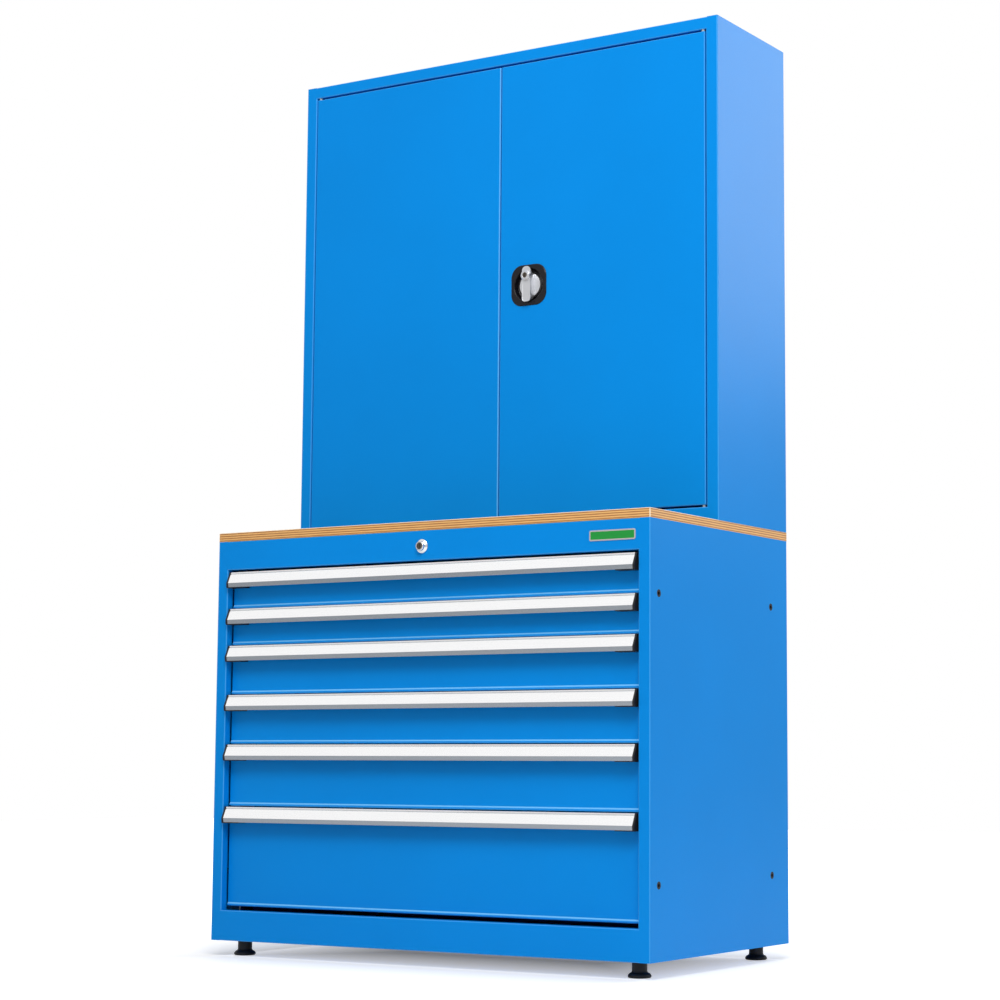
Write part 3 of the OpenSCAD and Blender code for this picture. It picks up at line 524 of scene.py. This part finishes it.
class CABINET_OT_paint(bpy.types.Operator):
    """Powder coat on the housings, drawers, doors, strips and shelves"""

    bl_idname = "cabinet.paint"
    bl_label = "Powder coat"

    def execute(self, context):
        """Blue with faint cloudiness, painted highlights on the folds, the doors' meeting edge and
        the drawers' flared edges, fine peel and slightly uneven gloss.
        """
        paint = context.scene.cabinet_paint
        blue = tuple(paint.blue)
        coat = Finish("blue_powder_coat", blue, paint.roughness)
        coat.set("Specular IOR Level", 0.1)
        clouds = coat.spread(coat.noise(2.3, 3.0), 0.0, 1.0)
        body = coat.blend(clouds, tinted(blue, 0.965), tinted(blue, 1.035))

        # Painted highlight: the coat turns paler on the folds, where the normal leans between the
        # axes.
        side, front, top = coat.normal_parts()
        flattest = coat.math("MAXIMUM", side, coat.math("MAXIMUM", front, top))
        painted_highlight = coat.spread(flattest, paint.fold_highlight, 0.0, 0.86, 0.99)
        place = coat.parts(coat.object_place)
        # Painted highlight on the left door's edge where the doors meet.
        painted_highlight = coat.blend(self.seam(coat, paint, place), painted_highlight, (paint.seam_highlight_strength,) * 3)
        # Painted highlight: a pale line along the top of each drawer's flared edge.
        crest_highlight = coat.within(place["Y"], DRAWER_FACE - paint.crest_highlight, DRAWER_FACE)
        crest_highlight = coat.all_of(crest_highlight, paint.crest_highlight_strength)
        painted_highlight = coat.blend(self.kick(coat, paint, place, top), painted_highlight, crest_highlight)
        coat.set("Base Color", coat.blend(painted_highlight, body, tuple(paint.pale)))

        gloss = coat.noise(420.0)
        coat.set("Roughness", coat.spread(gloss, paint.roughness - 0.03, paint.roughness + 0.04))
        grain, waves = coat.noise(1500.0, 1.0), coat.noise(210.0, 1.0)
        peel = coat.bump(waves, paint.peel, 0.35)
        coat.set("Normal", coat.bump(grain, paint.peel / 4, 0.3, peel))
        wear(
            nodes_like("base_side", "base_top", "base_floor", "base_back", "upper_side",
                       "upper_top", "upper_bottom", "upper_back", "_door", "_box",
                       "shelves", "shelf_strips"),
            coat.material,
        )
        return {"FINISHED"}

    def seam(self, coat, paint, place):
        """One on the left door's edge, where the two doors meet; a painted highlight goes there."""
        edge_gap = 0.0005
        return coat.all_of(
            coat.within(place["X"], DOOR_HIGH.x - paint.seam, DOOR_HIGH.x + SLACK),
            coat.within(place["Y"], DOOR_LOW.y - SLACK, DOOR_LOW.y + paint.seam + SLACK),
            coat.within(place["Z"], DOOR_LOW.z + edge_gap, DOOR_HIGH.z - edge_gap),
        )

    def kick(self, coat, paint, place, top):
        """One on the flared edge of every drawer front, where a painted highlight goes along its
        top.
        """
        flared_up = (0.48, 0.60)  # upward part of the normal there
        return coat.all_of(
            coat.within(top, *flared_up),
            coat.within(place["Y"], DRAWER_FACE - paint.kick - SLACK, DRAWER_FACE + SLACK),
        )


class CABINET_OT_metals(bpy.types.Operator):
    """Aluminium grips, zinc plated steel, nickel locks, cast wing and the badge's metal"""

    bl_idname = "cabinet.metals"
    bl_label = "Metals"

    def execute(self, context):
        """Each metal in turn."""
        metal = context.scene.cabinet_metal
        self.grips(metal)
        self.zinc(metal)
        self.locks(metal)
        self.badge(context.scene.cabinet_badge)
        return {"FINISHED"}

    def grips(self, metal):
        """Extrusion lines along the grips, and painted shade on the lips and lower facets that do
        not tilt upwards.
        """
        grip = Finish("satin_aluminium", tuple(metal.aluminium), 0.3, 1.0)
        lines = grip.noise(1.0, 3.0, grip.stretched((4.0, 2600.0, 2600.0)))
        # Painted shade: faces of the grips that do not tilt upwards get the darker colour.
        tilt = grip.parts(grip.add("ShaderNodeTexCoord").outputs["Normal"])["Z"]
        slope = grip.spread(tilt, 0.0, 1.0, 0.12, 0.36)
        grip.set("Base Color", grip.blend(slope, tuple(metal.edges), tuple(metal.aluminium)))
        grip.set("Roughness", grip.spread(lines, 0.20, 0.32))
        grip.set("Normal", grip.bump(lines, 0.00003, 0.5))
        wear(nodes_like("_handle"), grip.material)

    def zinc(self, metal):
        """A faint spangle on the zinc plating."""
        zinc = Finish("zinc_plate", tuple(metal.zinc), 0.34, 1.0)
        spangle = zinc.noise(85.0, 4.0)
        pale, dull = tinted(metal.zinc, 1.08), tinted(metal.zinc, 0.86)
        zinc.set("Base Color", zinc.blend(zinc.spread(spangle, 0.0, 1.0), dull, pale))
        zinc.set("Roughness", zinc.spread(zinc.noise(300.0), 0.28, 0.42))
        zinc.set("Normal", zinc.bump(spangle, 0.00005, 0.3))
        wear(
            nodes_like("_rails", "fasteners", "locking_bar", "transfer_bar", "shelf_clips",
                       "hinge_pins", "lock_case", "handle_cam", "_rod"),
            zinc.material,
        )

    def locks(self, metal):
        """Bright nickel, the wing's cast silver and the plugs' dark bronze."""
        nickel = Finish("bright_nickel", tuple(metal.nickel), 0.16, 1.0)
        marks = nickel.noise(700.0, 2.0)
        nickel.set("Roughness", nickel.spread(marks, 0.12, 0.24))
        wear(["lock_barrel"], nickel.material)

        wing = Finish("cast_silver", tuple(metal.wing), 0.3, 0.85)
        flow = wing.noise(260.0, 2.0)
        wing.set("Roughness", wing.spread(flow, 0.34, 0.42))
        wing.set("Normal", wing.bump(flow, 0.00004, 0.15))
        wear(["handle_wing", "handle_key"], wing.material)

        bronze = Finish("dark_bronze", tuple(metal.bronze), 0.45, 0.15)
        bronze.set("Specular IOR Level", 0.25)
        bronze.set("Roughness", bronze.spread(bronze.noise(900.0), 0.40, 0.52))
        wear(["lock_plug"], bronze.material)

    def badge(self, badge):
        """The plate's silver and the green of its field."""
        silver = Finish("plate_silver", tuple(badge.silver), 0.45, 0.3)
        silver.set("Roughness", silver.spread(silver.noise(600.0), 0.4, 0.5))
        green = Finish("plate_green", tuple(badge.green), 0.4)
        green.set("Roughness", green.spread(green.noise(900.0), 0.35, 0.45))


class CABINET_OT_mouldings(bpy.types.Operator):
    """Black plastic on caps, dish, inserts and feet, and nylon on the bushes"""

    bl_idname = "cabinet.mouldings"
    bl_label = "Mouldings"

    def execute(self, context):
        """Finely grained black plastic and plain nylon."""
        moulding = context.scene.cabinet_moulding
        black = Finish("black_moulding", tuple(moulding.black), 0.42)
        black.set("Specular IOR Level", 0.22)
        grain = black.noise(1900.0, 2.0)
        dark, pale = tinted(moulding.black, 0.85), tinted(moulding.black, 1.25)
        clouds = black.spread(black.noise(60.0), 0.0, 1.0)
        black.set("Base Color", black.blend(clouds, dark, pale))
        black.set("Roughness", black.spread(grain, 0.36, 0.52))
        black.set("Normal", black.bump(grain, 0.00005, 0.4))
        wear(nodes_like("_caps", "side_inserts", "foot_"), black.material)

        dish = Finish("glossy_black", tuple(moulding.dish), 0.3)
        dish.set("Specular IOR Level", 0.3)
        dish.set("Roughness", dish.spread(dish.noise(500.0), 0.24, 0.34))
        wear(["handle_dish"], dish.material)

        nylon = Finish("grey_nylon", tuple(moulding.nylon), 0.45)
        nylon.set("Roughness", nylon.spread(nylon.noise(800.0), 0.4, 0.5))
        nylon.set("Subsurface Weight", 0.1)
        wear(["hinge_bushes"], nylon.material)
        return {"FINISHED"}


class CABINET_OT_worktop(bpy.types.Operator):
    """Plywood worktop with its plies showing along the edges"""

    bl_idname = "cabinet.worktop"
    bl_label = "Worktop"

    def execute(self, context):
        """Layers on the board's edges, and grain along X on its faces."""
        board = context.scene.cabinet_plywood
        wood = Finish("lacquered_plywood", tuple(board.face), 0.38)
        pores = wood.noise(1.0, 3.0, wood.stretched((30.0, 900.0, 900.0)))
        tilt = wood.parts(wood.add("ShaderNodeNewGeometry").outputs["Normal"])["Z"]
        flat = wood.spread(wood.math("ABSOLUTE", tilt), 0.0, 1.0, 0.85, 0.95)
        edge, face = self.edge(wood, board), self.face(wood, board, pores)
        wood.set("Base Color", wood.blend(flat, edge, face))
        wood.set("Roughness", wood.spread(pores, 0.34, 0.5))
        wood.set("Normal", wood.bump(pores, 0.00006, 0.4))
        wear(["worktop"], wood.material)
        return {"FINISHED"}

    def edge(self, wood, board):
        """Veneers by height, with streaks along them and a painted highlight on the arrises."""
        place = wood.parts(wood.object_place)
        waves = 0.0005  # how far a veneer's edge wanders up and down
        wobble = wood.math("MULTIPLY", wood.noise(9.0, 2.0, wood.stretched((1, 1, 0.01))), waves)
        up = wood.math("SUBTRACT", wood.math("ADD", place["Z"], wobble), WORKTOP_LOW.z)
        layer = wood.math("MULTIPLY", up, (board.plies - 1) / (WORKTOP_HIGH.z - WORKTOP_LOW.z))
        cross = wood.math("PINGPONG", layer, 1.0)
        uneven = wood.noise(1.0, 3.0, wood.stretched((34.0, 34.0, 420.0)))
        cross = wood.math("MULTIPLY_ADD", wood.math("SUBTRACT", uneven, 0.5), 0.45, cross)
        cross = wood.spread(cross, 0.0, 1.0, 0.42, 0.70)
        streak = wood.noise(1.0, 4.0, wood.stretched((60.0, 60.0, 1800.0)))
        light = wood.blend(streak, tinted(board.light, 0.8), tinted(board.light, 1.2))
        dark = wood.blend(streak, tinted(board.dark, 0.7), tinted(board.dark, 1.35))
        # Painted highlight: a pale band along the upper edge and front corners.
        arris_highlight_mask = self.arris(wood, board, place)
        return wood.blend(arris_highlight_mask, wood.blend(cross, light, dark), tuple(board.arris_highlight))

    def arris(self, wood, board, place):
        """One on the board's front corners and along its upper edge, where the painted highlight
        goes.
        """
        right = wood.math("SUBTRACT", place["X"], WORKTOP_HIGH.x - board.arris)
        front = wood.math("SUBTRACT", WORKTOP_LOW.y + board.arris, place["Y"])
        above = wood.math("SUBTRACT", place["Z"], WORKTOP_HIGH.z - board.arris * 0.7)
        left = wood.math("SUBTRACT", WORKTOP_LOW.x + board.arris, place["X"])
        corner = wood.math("MINIMUM", wood.math("MAXIMUM", right, left), front)
        return wood.math("GREATER_THAN", wood.math("MAXIMUM", corner, above), 0.0)

    def face(self, wood, board, pores):
        """The face veneer's broad figure and its dark pores."""
        figure = wood.noise(1.0, 6.0, wood.stretched((1.6, 26.0, 26.0)))
        early, late = tinted(board.face, 0.82), tinted(board.face, 1.1)
        face = wood.blend(wood.spread(figure, 0.0, 1.0), early, late)
        return wood.blend(wood.spread(pores, 0.0, 0.35, 0.45, 0.75), face, tinted(board.face, 0.55))


# ---------------------------------------------------------------- operators: fine pieces


class CABINET_OT_badge(bpy.types.Operator):
    """Bare rounded plate with a plain green field on the fascia"""

    bl_idname = "cabinet.badge"
    bl_label = "Badge plate"

    def execute(self, context):
        """A plate with rounded corners, its field inset and sunk a little."""
        badge = context.scene.cabinet_badge
        face = FASCIA_FACE
        half = Vector((badge.width / 2, 0, badge.height / 2))
        middle = Vector((badge.side, face, badge.up))
        plate = block(middle - half - Vector((0, badge.thick, 0)), middle + half)
        pick("edges", lambda e: along(e, 1))
        bevel(badge.corner, 8)
        pick("faces", lambda f: facing(f, (0, -1, 0)))
        bpy.ops.mesh.inset(thickness=0.0004, depth=0.0003)
        bpy.ops.mesh.inset(thickness=badge.rim, depth=0)
        bpy.ops.mesh.inset(thickness=0.0002, depth=-badge.sunk)
        plate.data.materials.append(bpy.data.materials["plate_silver"])
        plate.data.materials.append(bpy.data.materials["plate_green"])
        plate.active_material_index = 1
        bpy.ops.object.material_slot_assign()
        finished(plate, "badge_plate", "housing", None, 25)
        return {"FINISHED"}


class CABINET_OT_wing(bpy.types.Operator):
    """Wing handle of the doors with its foot, key boss, key ring and key plug"""

    bl_idname = "cabinet.wing"
    bl_label = "Wing handle"

    def execute(self, context):
        """A tapered bar with a sunk front, joined to a turned foot and a key boss."""
        wing = context.scene.cabinet_wing
        low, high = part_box("handle_wing")
        middle = Vector(((low.x + high.x) / 2, DOOR_FACE, (DISH_LOW.z + DISH_HIGH.z) / 2))
        key = middle + Vector((0, 0, wing.key_up))
        bar = joined(self.bar(wing, middle), self.boss(wing, key))
        bar = joined(bar, self.foot(wing, middle))
        finished(bar, "wing_handle", "wing", "cast_silver", 32)
        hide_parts("handle_wing")
        self.ring(wing, key)
        self.plug(wing, key)
        return {"FINISHED"}

    def bar(self, wing, middle):
        """The tapered bar, with its sides and front sunk inside a rim."""
        half_w, root = wing.width / 2, 0.0036
        bar = block(
            (middle.x - half_w, DOOR_FACE - wing.proud, middle.z - wing.below),
            (middle.x + half_w, DOOR_FACE + root, middle.z + wing.above),
        )
        round_low, round_high = 0.0068, 0.0088
        pick("edges", lambda e: along(e, 1) and e.verts[0].co.z < middle.z)
        bevel(round_low, 6)
        pick("edges", lambda e: along(e, 1) and e.verts[0].co.z > middle.z + wing.above - HAIR)
        bevel(round_high, 7)
        ends, taper_low, taper_high = 0.02, 0.0060, 0.0125
        behind = lambda v: v.co.y > DOOR_FACE
        pick("edges", lambda e: all(behind(v) and v.co.z > middle.z + ends for v in e.verts))
        bpy.ops.transform.translate(value=(0, 0, -taper_high))
        pick("edges", lambda e: all(behind(v) and v.co.z < middle.z - ends for v in e.verts))
        bpy.ops.transform.translate(value=(0, 0, taper_low))
        pick("faces", lambda f: abs(f.normal.x) > 0.99)
        bpy.ops.mesh.inset(thickness=0.0022, depth=0.0007)
        pick("faces", lambda f: facing(f, (0, -1, 0)))
        bpy.ops.mesh.inset(thickness=0.0013, depth=0)
        bpy.ops.mesh.inset(thickness=0.0005, depth=-0.0004)
        bpy.ops.object.mode_set(mode="OBJECT")
        edge_round(bar, 0.0008, 3)
        return bar

    def boss(self, wing, key):
        """The cup on the bar that holds the key."""
        radius, bore, front = wing.boss_radius, wing.bore, wing.boss
        root, chamfer = 0.004, 0.0009
        return turned(
            key, (0, -1, 0),
            [(0, root), (radius, root), (radius, front - chamfer), (radius - chamfer, front),
             (bore, front), (bore, wing.proud), (0, wing.proud)],
        )

    def foot(self, wing, middle):
        """The round foot in the dish, with the spindle behind it."""
        radius, spindle = wing.foot, 0.004
        spindle_end, back = -0.0225, -0.0102
        return turned(
            middle, (0, -1, 0),
            [(0, spindle_end), (spindle, spindle_end), (spindle, back), (radius - 0.0006, back),
             (radius, back + 0.0006), (radius, -0.0042), (radius - 0.0004, -0.0033),
             (radius - 0.0014, -0.0029), (0, -0.0026)],
            80,
        )

    def ring(self, wing, key):
        """The ring round the key, let into the boss."""
        inner, outer, chamfer = wing.bore, wing.bore + 0.0022, 0.0004
        front, back = wing.boss + 0.0009, wing.boss - 0.002
        ring = turned(
            key, (0, -1, 0),
            [(inner, back), (outer, back), (outer, wing.boss + chamfer), (outer - chamfer, front),
             (inner + chamfer, front), (inner, front - chamfer), (inner, back)],
        )
        finished(ring, "key_ring", "wing", "cast_silver")

    def plug(self, wing, key):
        """The key's plug in the bore, with its slot."""
        radius, chamfer = wing.bore - SLACK, 0.0004
        front, back = wing.boss + 0.0007, wing.proud + HAIR
        plug = turned(
            key, (0, -1, 0),
            [(0, back), (radius, back), (radius, front - chamfer), (radius - chamfer, front),
             (0, front)],
            40,
        )
        half_w, half_h, face = 0.0007, 0.0033, DOOR_FACE - wing.boss
        slot = block(
            (key.x - half_w, face - 0.002, key.z - half_h),
            (key.x + half_w, face + 0.003, key.z + half_h),
        )
        cut_or_join(plug, slot, "DIFFERENCE")
        finished(plug, "key_plug", "key", "dark_bronze", 40)
        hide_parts("handle_key")


class CABINET_OT_dish(bpy.types.Operator):
    """Rounded square dish round the wing handle"""

    bl_idname = "cabinet.dish"
    bl_label = "Finger dish"

    def execute(self, context):
        """A crowned plate with a round hole, joined to a turned cup."""
        dish = context.scene.cabinet_dish
        low, high = Vector(DISH_LOW), Vector(DISH_HIGH)
        middle = (low + high) / 2
        front = low.y + HAIR
        plate = block((low.x, front, low.z), (high.x, DOOR_FACE, high.z))
        pick("edges", lambda e: along(e, 1))
        bevel(dish.corner, 14)
        pick("faces", lambda f: facing(f, (0, -1, 0)))
        bpy.ops.mesh.inset(thickness=0.0016, depth=0)
        pick("edges", lambda e: all(abs(v.co.y - front) < 1e-5 for v in e.verts)
             and sum(facing(f, (0, -1, 0)) for f in e.link_faces) == 1)
        bpy.ops.transform.translate(value=(0, dish.crown, 0))
        bpy.ops.object.mode_set(mode="OBJECT")
        edge_round(plate, 0.0006, 3, 20)
        hole, near, far = dish.hollow + 0.0004, 0.04, -0.03
        mouth = turned(
            (middle.x, 0, middle.z), (0, -1, 0),
            [(0, far), (hole, far), (hole, near), (0, near)],
            96,
        )
        cut_or_join(plate, mouth, "DIFFERENCE")
        rim, deep, under = dish.hollow, -dish.depth, -dish.depth - dish.wall
        cup = turned(
            (middle.x, DOOR_FACE, middle.z), (0, -1, 0),
            [(dish.spindle, deep), (rim - 0.0058, deep), (rim - 0.0040, deep + 0.0005),
             (rim - 0.0028, deep + 0.0016), (rim - 0.0022, deep + 0.0034), (rim - 0.0012, 0.0006),
             (rim - 0.0004, 0.0020), (rim + 0.0002, 0.0024), (rim + 0.0009, 0.0022),
             (rim + 0.0010, 0.0006), (rim + 0.0010, under), (dish.spindle, under),
             (dish.spindle, deep)],
            96,
        )
        plate = joined(plate, cup)
        finished(plate, "finger_dish", "right_door", "glossy_black", 32)
        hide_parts("handle_dish")
        return {"FINISHED"}


class CABINET_OT_feet(bpy.types.Operator):
    """Four levelling feet, turned, with a round body and a threaded stem"""

    bl_idname = "cabinet.feet"
    bl_label = "Levelling feet"

    def execute(self, context):
        """One foot is modelled and the other three are copies of it."""
        sizes = context.scene.cabinet_foot
        low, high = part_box("foot_front_left")
        centre = Vector(((low.x + high.x) / 2, (low.y + high.y) / 2, 0))
        disc, body, top, stem = sizes.disc, sizes.body, sizes.height, sizes.stem
        stem_top, half_pitch = 0.0750, sizes.pitch / 2
        thread = [
            (stem - (sizes.thread if step % 2 else 0.0), top + half_pitch * step)
            for step in range(1, 2 * sizes.turns)
        ]
        foot = turned(
            centre, (0, 0, 1),
            [(0, HAIR), (disc - 0.0041, HAIR), (disc - 0.0021, 0.0004), (disc - 0.0005, 0.0016),
             (disc, 0.0034), (disc - 0.0004, 0.0050), (disc - 0.0019, 0.0074),
             (disc - 0.0037, 0.0088), (body + 0.0018, 0.0098), (body + 0.0008, 0.0106),
             (body + 0.0001, 0.0124), (body, 0.0140), (body, top - 0.0010),
             (body - 0.0004, top - 0.0001), (stem, top), *thread,
             (stem - 0.0008, stem_top - 0.0002), (0, stem_top)],
            56,
        )
        band_low, band_high = 0.0135, 0.0297
        upright = lambda f: abs(f.normal.z) < 0.2
        pick("faces", lambda f: upright(f) and band_low < f.calc_center_median().z < band_high)
        bpy.ops.mesh.inset(thickness=0.0006, depth=0, use_individual=False)
        name = "levelling_foot_front_left"
        finished(foot, name, "foot_front_left", "black_moulding", 30)
        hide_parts("foot_front_left")
        here = (Vector(low) + Vector(high)) / 2
        for node in ("foot_front_right", "foot_rear_left", "foot_rear_right"):
            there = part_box(node)
            shift = (Vector(there[0]) + Vector(there[1])) / 2 - here
            copy = copied(foot, "levelling_" + node, shift)
            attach(copy, node)
            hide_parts(node)
        return {"FINISHED"}


class CABINET_OT_lock_bezel(bpy.types.Operator):
    """Bright turned ring and dark plug face of the drawers' lock"""

    bl_idname = "cabinet.lock_bezel"
    bl_label = "Lock bezel"

    def execute(self, context):
        """A flange with a collar over the barrel, and the plug's slotted face in it."""
        lock = context.scene.cabinet_lock
        low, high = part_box("lock_barrel")
        centre = (0, FASCIA_FACE, (low.z + high.z) / 2)
        flange, front = lock.flange, lock.proud
        barrel, collar, bore = 0.0112, 0.0093, 0.0064
        ring = turned(
            centre, (0, -1, 0),
            [(barrel, HAIR), (flange - 0.0005, HAIR), (flange, 0.0010), (flange - 0.0005, 0.0022),
             (barrel, 0.0034), (collar + 0.0005, 0.0044), (collar + 0.0001, 0.0052),
             (collar, front - 0.0008), (collar - 0.0008, front), (bore + 0.0002, front),
             (bore, front - 0.0004), (bore, 0.0036), (barrel, 0.0035), (barrel, HAIR)],
        )
        finished(ring, "lock_bezel", "housing", "bright_nickel", 40)
        radius, face, back, chamfer = bore - SLACK, front - SLACK, 0.0036, 0.0004
        cap = turned(
            centre, (0, -1, 0),
            [(0, back), (radius, back), (radius, face - chamfer), (radius - chamfer, face),
             (0, face)],
            40,
        )
        half_w, half_h, collar_face = 0.0008, 0.0038, FASCIA_FACE - front
        slot = block(
            (-half_w, collar_face - 0.001, centre[2] - half_h),
            (half_w, collar_face + 0.003, centre[2] + half_h),
        )
        cut_or_join(cap, slot, "DIFFERENCE")
        finished(cap, "lock_plug_cap", "lock_plug", "dark_bronze", 40)
        return {"FINISHED"}


class CABINET_OT_rivets(bpy.types.Operator):
    """Blind rivets that hold the two back panels"""

    bl_idname = "cabinet.rivets"
    bl_label = "Back rivets"

    def execute(self, context):
        """One domed head with its mandrel hole, copied down both edges."""
        rivets = context.scene.cabinet_rivets
        base_low, base_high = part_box("base_side_right")
        up_low, up_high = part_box("upper_side_right")
        edge = base_high.x - rivets.inset
        places = []
        for low, high in ((base_low.z, base_high.z), (up_low.z, up_high.z)):
            count = max(2, round((high - low) / rivets.pitch))
            for step in range(count):
                for side in (-edge, edge):
                    places.append(Vector((side, 0, low + (step + 0.5) * (high - low) / count)))
        radius, hole = rivets.radius, 0.0009
        head = turned(
            (places[0].x, base_high.y, places[0].z), (0, 1, 0),
            [(hole, HAIR), (radius, HAIR), (radius, 0.0004), (radius * 0.8, 0.0010),
             (radius * 0.5, 0.0014), (hole + 0.0002, 0.0015), (hole, 0.0010), (hole, HAIR)],
            16,
        )
        bpy.ops.object.mode_set(mode="OBJECT")
        others = [copied(head, "rivet", place - places[0]) for place in places[1:]]
        clean_start()
        for other in others:
            other.select_set(True)
        head.select_set(True)
        bpy.context.view_layer.objects.active = head
        bpy.ops.object.join()
        finished(head, "back_rivets", "housing", "zinc_plate", 40)
        return {"FINISHED"}


# ---------------------------------------------------------------- operators: studio


CAMERA_PLACE = (2.63036, -3.94136, 0.39498)
CAMERA_TURN, CAMERA_LIFT, CAMERA_ROLL = 31.076, 6.461, 0.146  # degrees
CAMERA_SHIFT = (-0.10721, -0.00429)


def lamp(name, place, aim, size, power):
    """A rectangular soft box that faces a point."""
    bpy.ops.object.light_add(type="AREA", location=place)
    box = bpy.context.object
    box.name = name
    box.data.shape = "RECTANGLE"
    box.data.size, box.data.size_y = size
    box.data.energy = power
    box.rotation_mode = "QUATERNION"
    box.rotation_quaternion = (Vector(aim) - Vector(place)).to_track_quat("-Z", "Y")
    return box


def by_ray(tree, plain, seen, mirrored):
    """A value for even light, another for rays seen or through glass, a third off a mirror."""
    path = tree.nodes.new("ShaderNodeLightPath")
    total = plain
    for kind, value in (
        ("Is Camera Ray", seen), ("Is Transmission Ray", seen), ("Is Glossy Ray", mirrored)
    ):
        choose = tree.nodes.new("ShaderNodeMix")
        tree.links.new(path.outputs[kind], choose.inputs[0])
        for socket, item in ((choose.inputs[2], total), (choose.inputs[3], value)):
            if isinstance(item, bpy.types.NodeSocket):
                tree.links.new(item, socket)
            else:
                socket.default_value = item
        total = choose.outputs[0]
    return total


class CABINET_OT_studio(bpy.types.Operator):
    """Pale floor, soft boxes and the camera at the photograph's place"""

    bl_idname = "cabinet.studio"
    bl_label = "Studio"

    def execute(self, context):
        """Camera, floor, two lamps and the world."""
        studio = context.scene.cabinet_studio
        bpy.ops.object.select_all(action="DESELECT")
        context.scene.camera = self.camera(studio)
        self.floor(studio)
        lamp("lamp_key", (1.8, -2.9, 3.9), (0.1, 0, 0.9), (2.5, 2.0), studio.key)
        lamp("lamp_behind", (2.5, 3.2, 2.7), (0.5, 0.1, 1.3), (2.2, 1.8), studio.behind)
        context.scene.world = self.sky(studio)
        context.scene.view_settings.view_transform = "Standard"
        return {"FINISHED"}

    def camera(self, studio):
        """Its place and aim were fitted to the photograph's straight edges."""
        bpy.ops.object.camera_add(location=CAMERA_PLACE)
        camera = bpy.context.object
        turn = Matrix.Rotation(math.radians(CAMERA_TURN), 3, "Z")
        lift = Matrix.Rotation(math.radians(90 + CAMERA_LIFT), 3, "X")
        roll = Matrix.Rotation(math.radians(CAMERA_ROLL), 3, "Z")
        camera.rotation_mode = "QUATERNION"
        camera.rotation_quaternion = (turn @ lift @ roll).to_quaternion()
        camera.data.sensor_width = 36.0
        camera.data.lens = studio.lens
        camera.data.shift_x, camera.data.shift_y = CAMERA_SHIFT
        return camera

    def floor(self, studio):
        """White where it is seen; the lamps' soft shadow, and a painted shadow in the floor's own
        white that deepens under the cabinet.
        """
        bpy.ops.mesh.primitive_plane_add(size=16.0)
        floor = bpy.context.object
        floor.name = "studio_floor"
        ground = Finish("pale_floor", (0.87, 0.86, 0.84), 0.6)
        ground.set("Emission Color", (1.0, 1.0, 1.0, 1.0))
        spot = ground.parts(ground.object_place)
        beyond = [
            ground.math("SUBTRACT", ground.math("ABSOLUTE", spot[axis]), reach)
            for axis, reach in (("X", CAD_BOX[1].x), ("Y", CAD_BOX[1].y))
        ]
        beyond = ground.math("MAXIMUM", *beyond)
        # The floor's own white sinks under the cabinet: painted shadow.
        glow = (  # distance past the cabinet's outline, and the floor's own white there
            (-0.36, studio.under), (-0.03, studio.edge), (-0.006, studio.dip),
            (0.16, studio.glow), (0.9, 1.0),
        )
        glow_with_painted_shadow = studio.under
        for (start, low), (end, high) in zip(glow, glow[1:]):
            rise = ground.spread(beyond, 0.0, high - low, start, end)
            glow_with_painted_shadow = ground.math("ADD", rise, glow_with_painted_shadow)
        ground.set("Emission Strength", by_ray(ground.tree, 0.0, glow_with_painted_shadow, studio.room / 2))
        floor.data.materials.append(ground.material)

    def sky(self, studio):
        """Even light, a white background, and a darker room at eye height in mirrored rays."""
        sky = bpy.data.worlds.new("studio_sky")
        sky.use_nodes = True
        tree = sky.node_tree
        background = tree.nodes["Background"]
        background.inputs["Color"].default_value = (1, 1, 1, 1)
        way = tree.nodes.new("ShaderNodeTexCoord").outputs["Generated"]
        split = tree.nodes.new("ShaderNodeSeparateXYZ")
        tree.links.new(way, split.inputs[0])
        rise = tree.nodes.new("ShaderNodeMapRange")
        tree.links.new(split.outputs["Z"], rise.inputs["Value"])
        for name, value in (("From Min", 0.06), ("From Max", 0.5), ("To Min", studio.room),
                            ("To Max", studio.white)):
            rise.inputs[name].default_value = value
        strength = by_ray(tree, studio.sky, studio.white, rise.outputs["Result"])
        tree.links.new(strength, background.inputs["Strength"])
        return sky


# ---------------------------------------------------------------- panel and main

STEPS = (
    CABINET_OT_studio,
    CABINET_OT_paint,
    CABINET_OT_metals,
    CABINET_OT_mouldings,
    CABINET_OT_worktop,
    CABINET_OT_badge,
    CABINET_OT_wing,
    CABINET_OT_dish,
    CABINET_OT_feet,
    CABINET_OT_lock_bezel,
    CABINET_OT_rivets,
)


class CABINET_PT_panel(bpy.types.Panel):
    """Lists the settings and the steps"""

    bl_label = "Tool cabinet"
    bl_idname = "CABINET_PT_panel"
    bl_space_type = "VIEW_3D"
    bl_region_type = "UI"
    bl_category = "Cabinet"

    def draw(self, context):
        """Settings first, then one button for each step."""
        for name in SETTINGS:
            box = self.layout.box()
            group = getattr(context.scene, name)
            for key in group.bl_rna.properties.keys():
                if key not in {"rna_type", "name"}:
                    box.prop(group, key)
        for step in STEPS:
            self.layout.operator(step.bl_idname)


def register():
    """Register the settings, the steps and the panel."""
    for name, group in SETTINGS.items():
        bpy.utils.register_class(group)
        setattr(bpy.types.Scene, name, PointerProperty(type=group))
    for item in (*STEPS, CABINET_PT_panel):
        bpy.utils.register_class(item)


def unregister():
    """Undo register."""
    for item in reversed((*STEPS, CABINET_PT_panel)):
        bpy.utils.unregister_class(item)
    for name, group in SETTINGS.items():
        delattr(bpy.types.Scene, name)
        bpy.utils.unregister_class(group)


def main():
    """Run every step."""
    register()
    for step in STEPS:
        group, name = step.bl_idname.split(".")
        getattr(getattr(bpy.ops, group), name)()


if __name__ == "__main__":
    main()
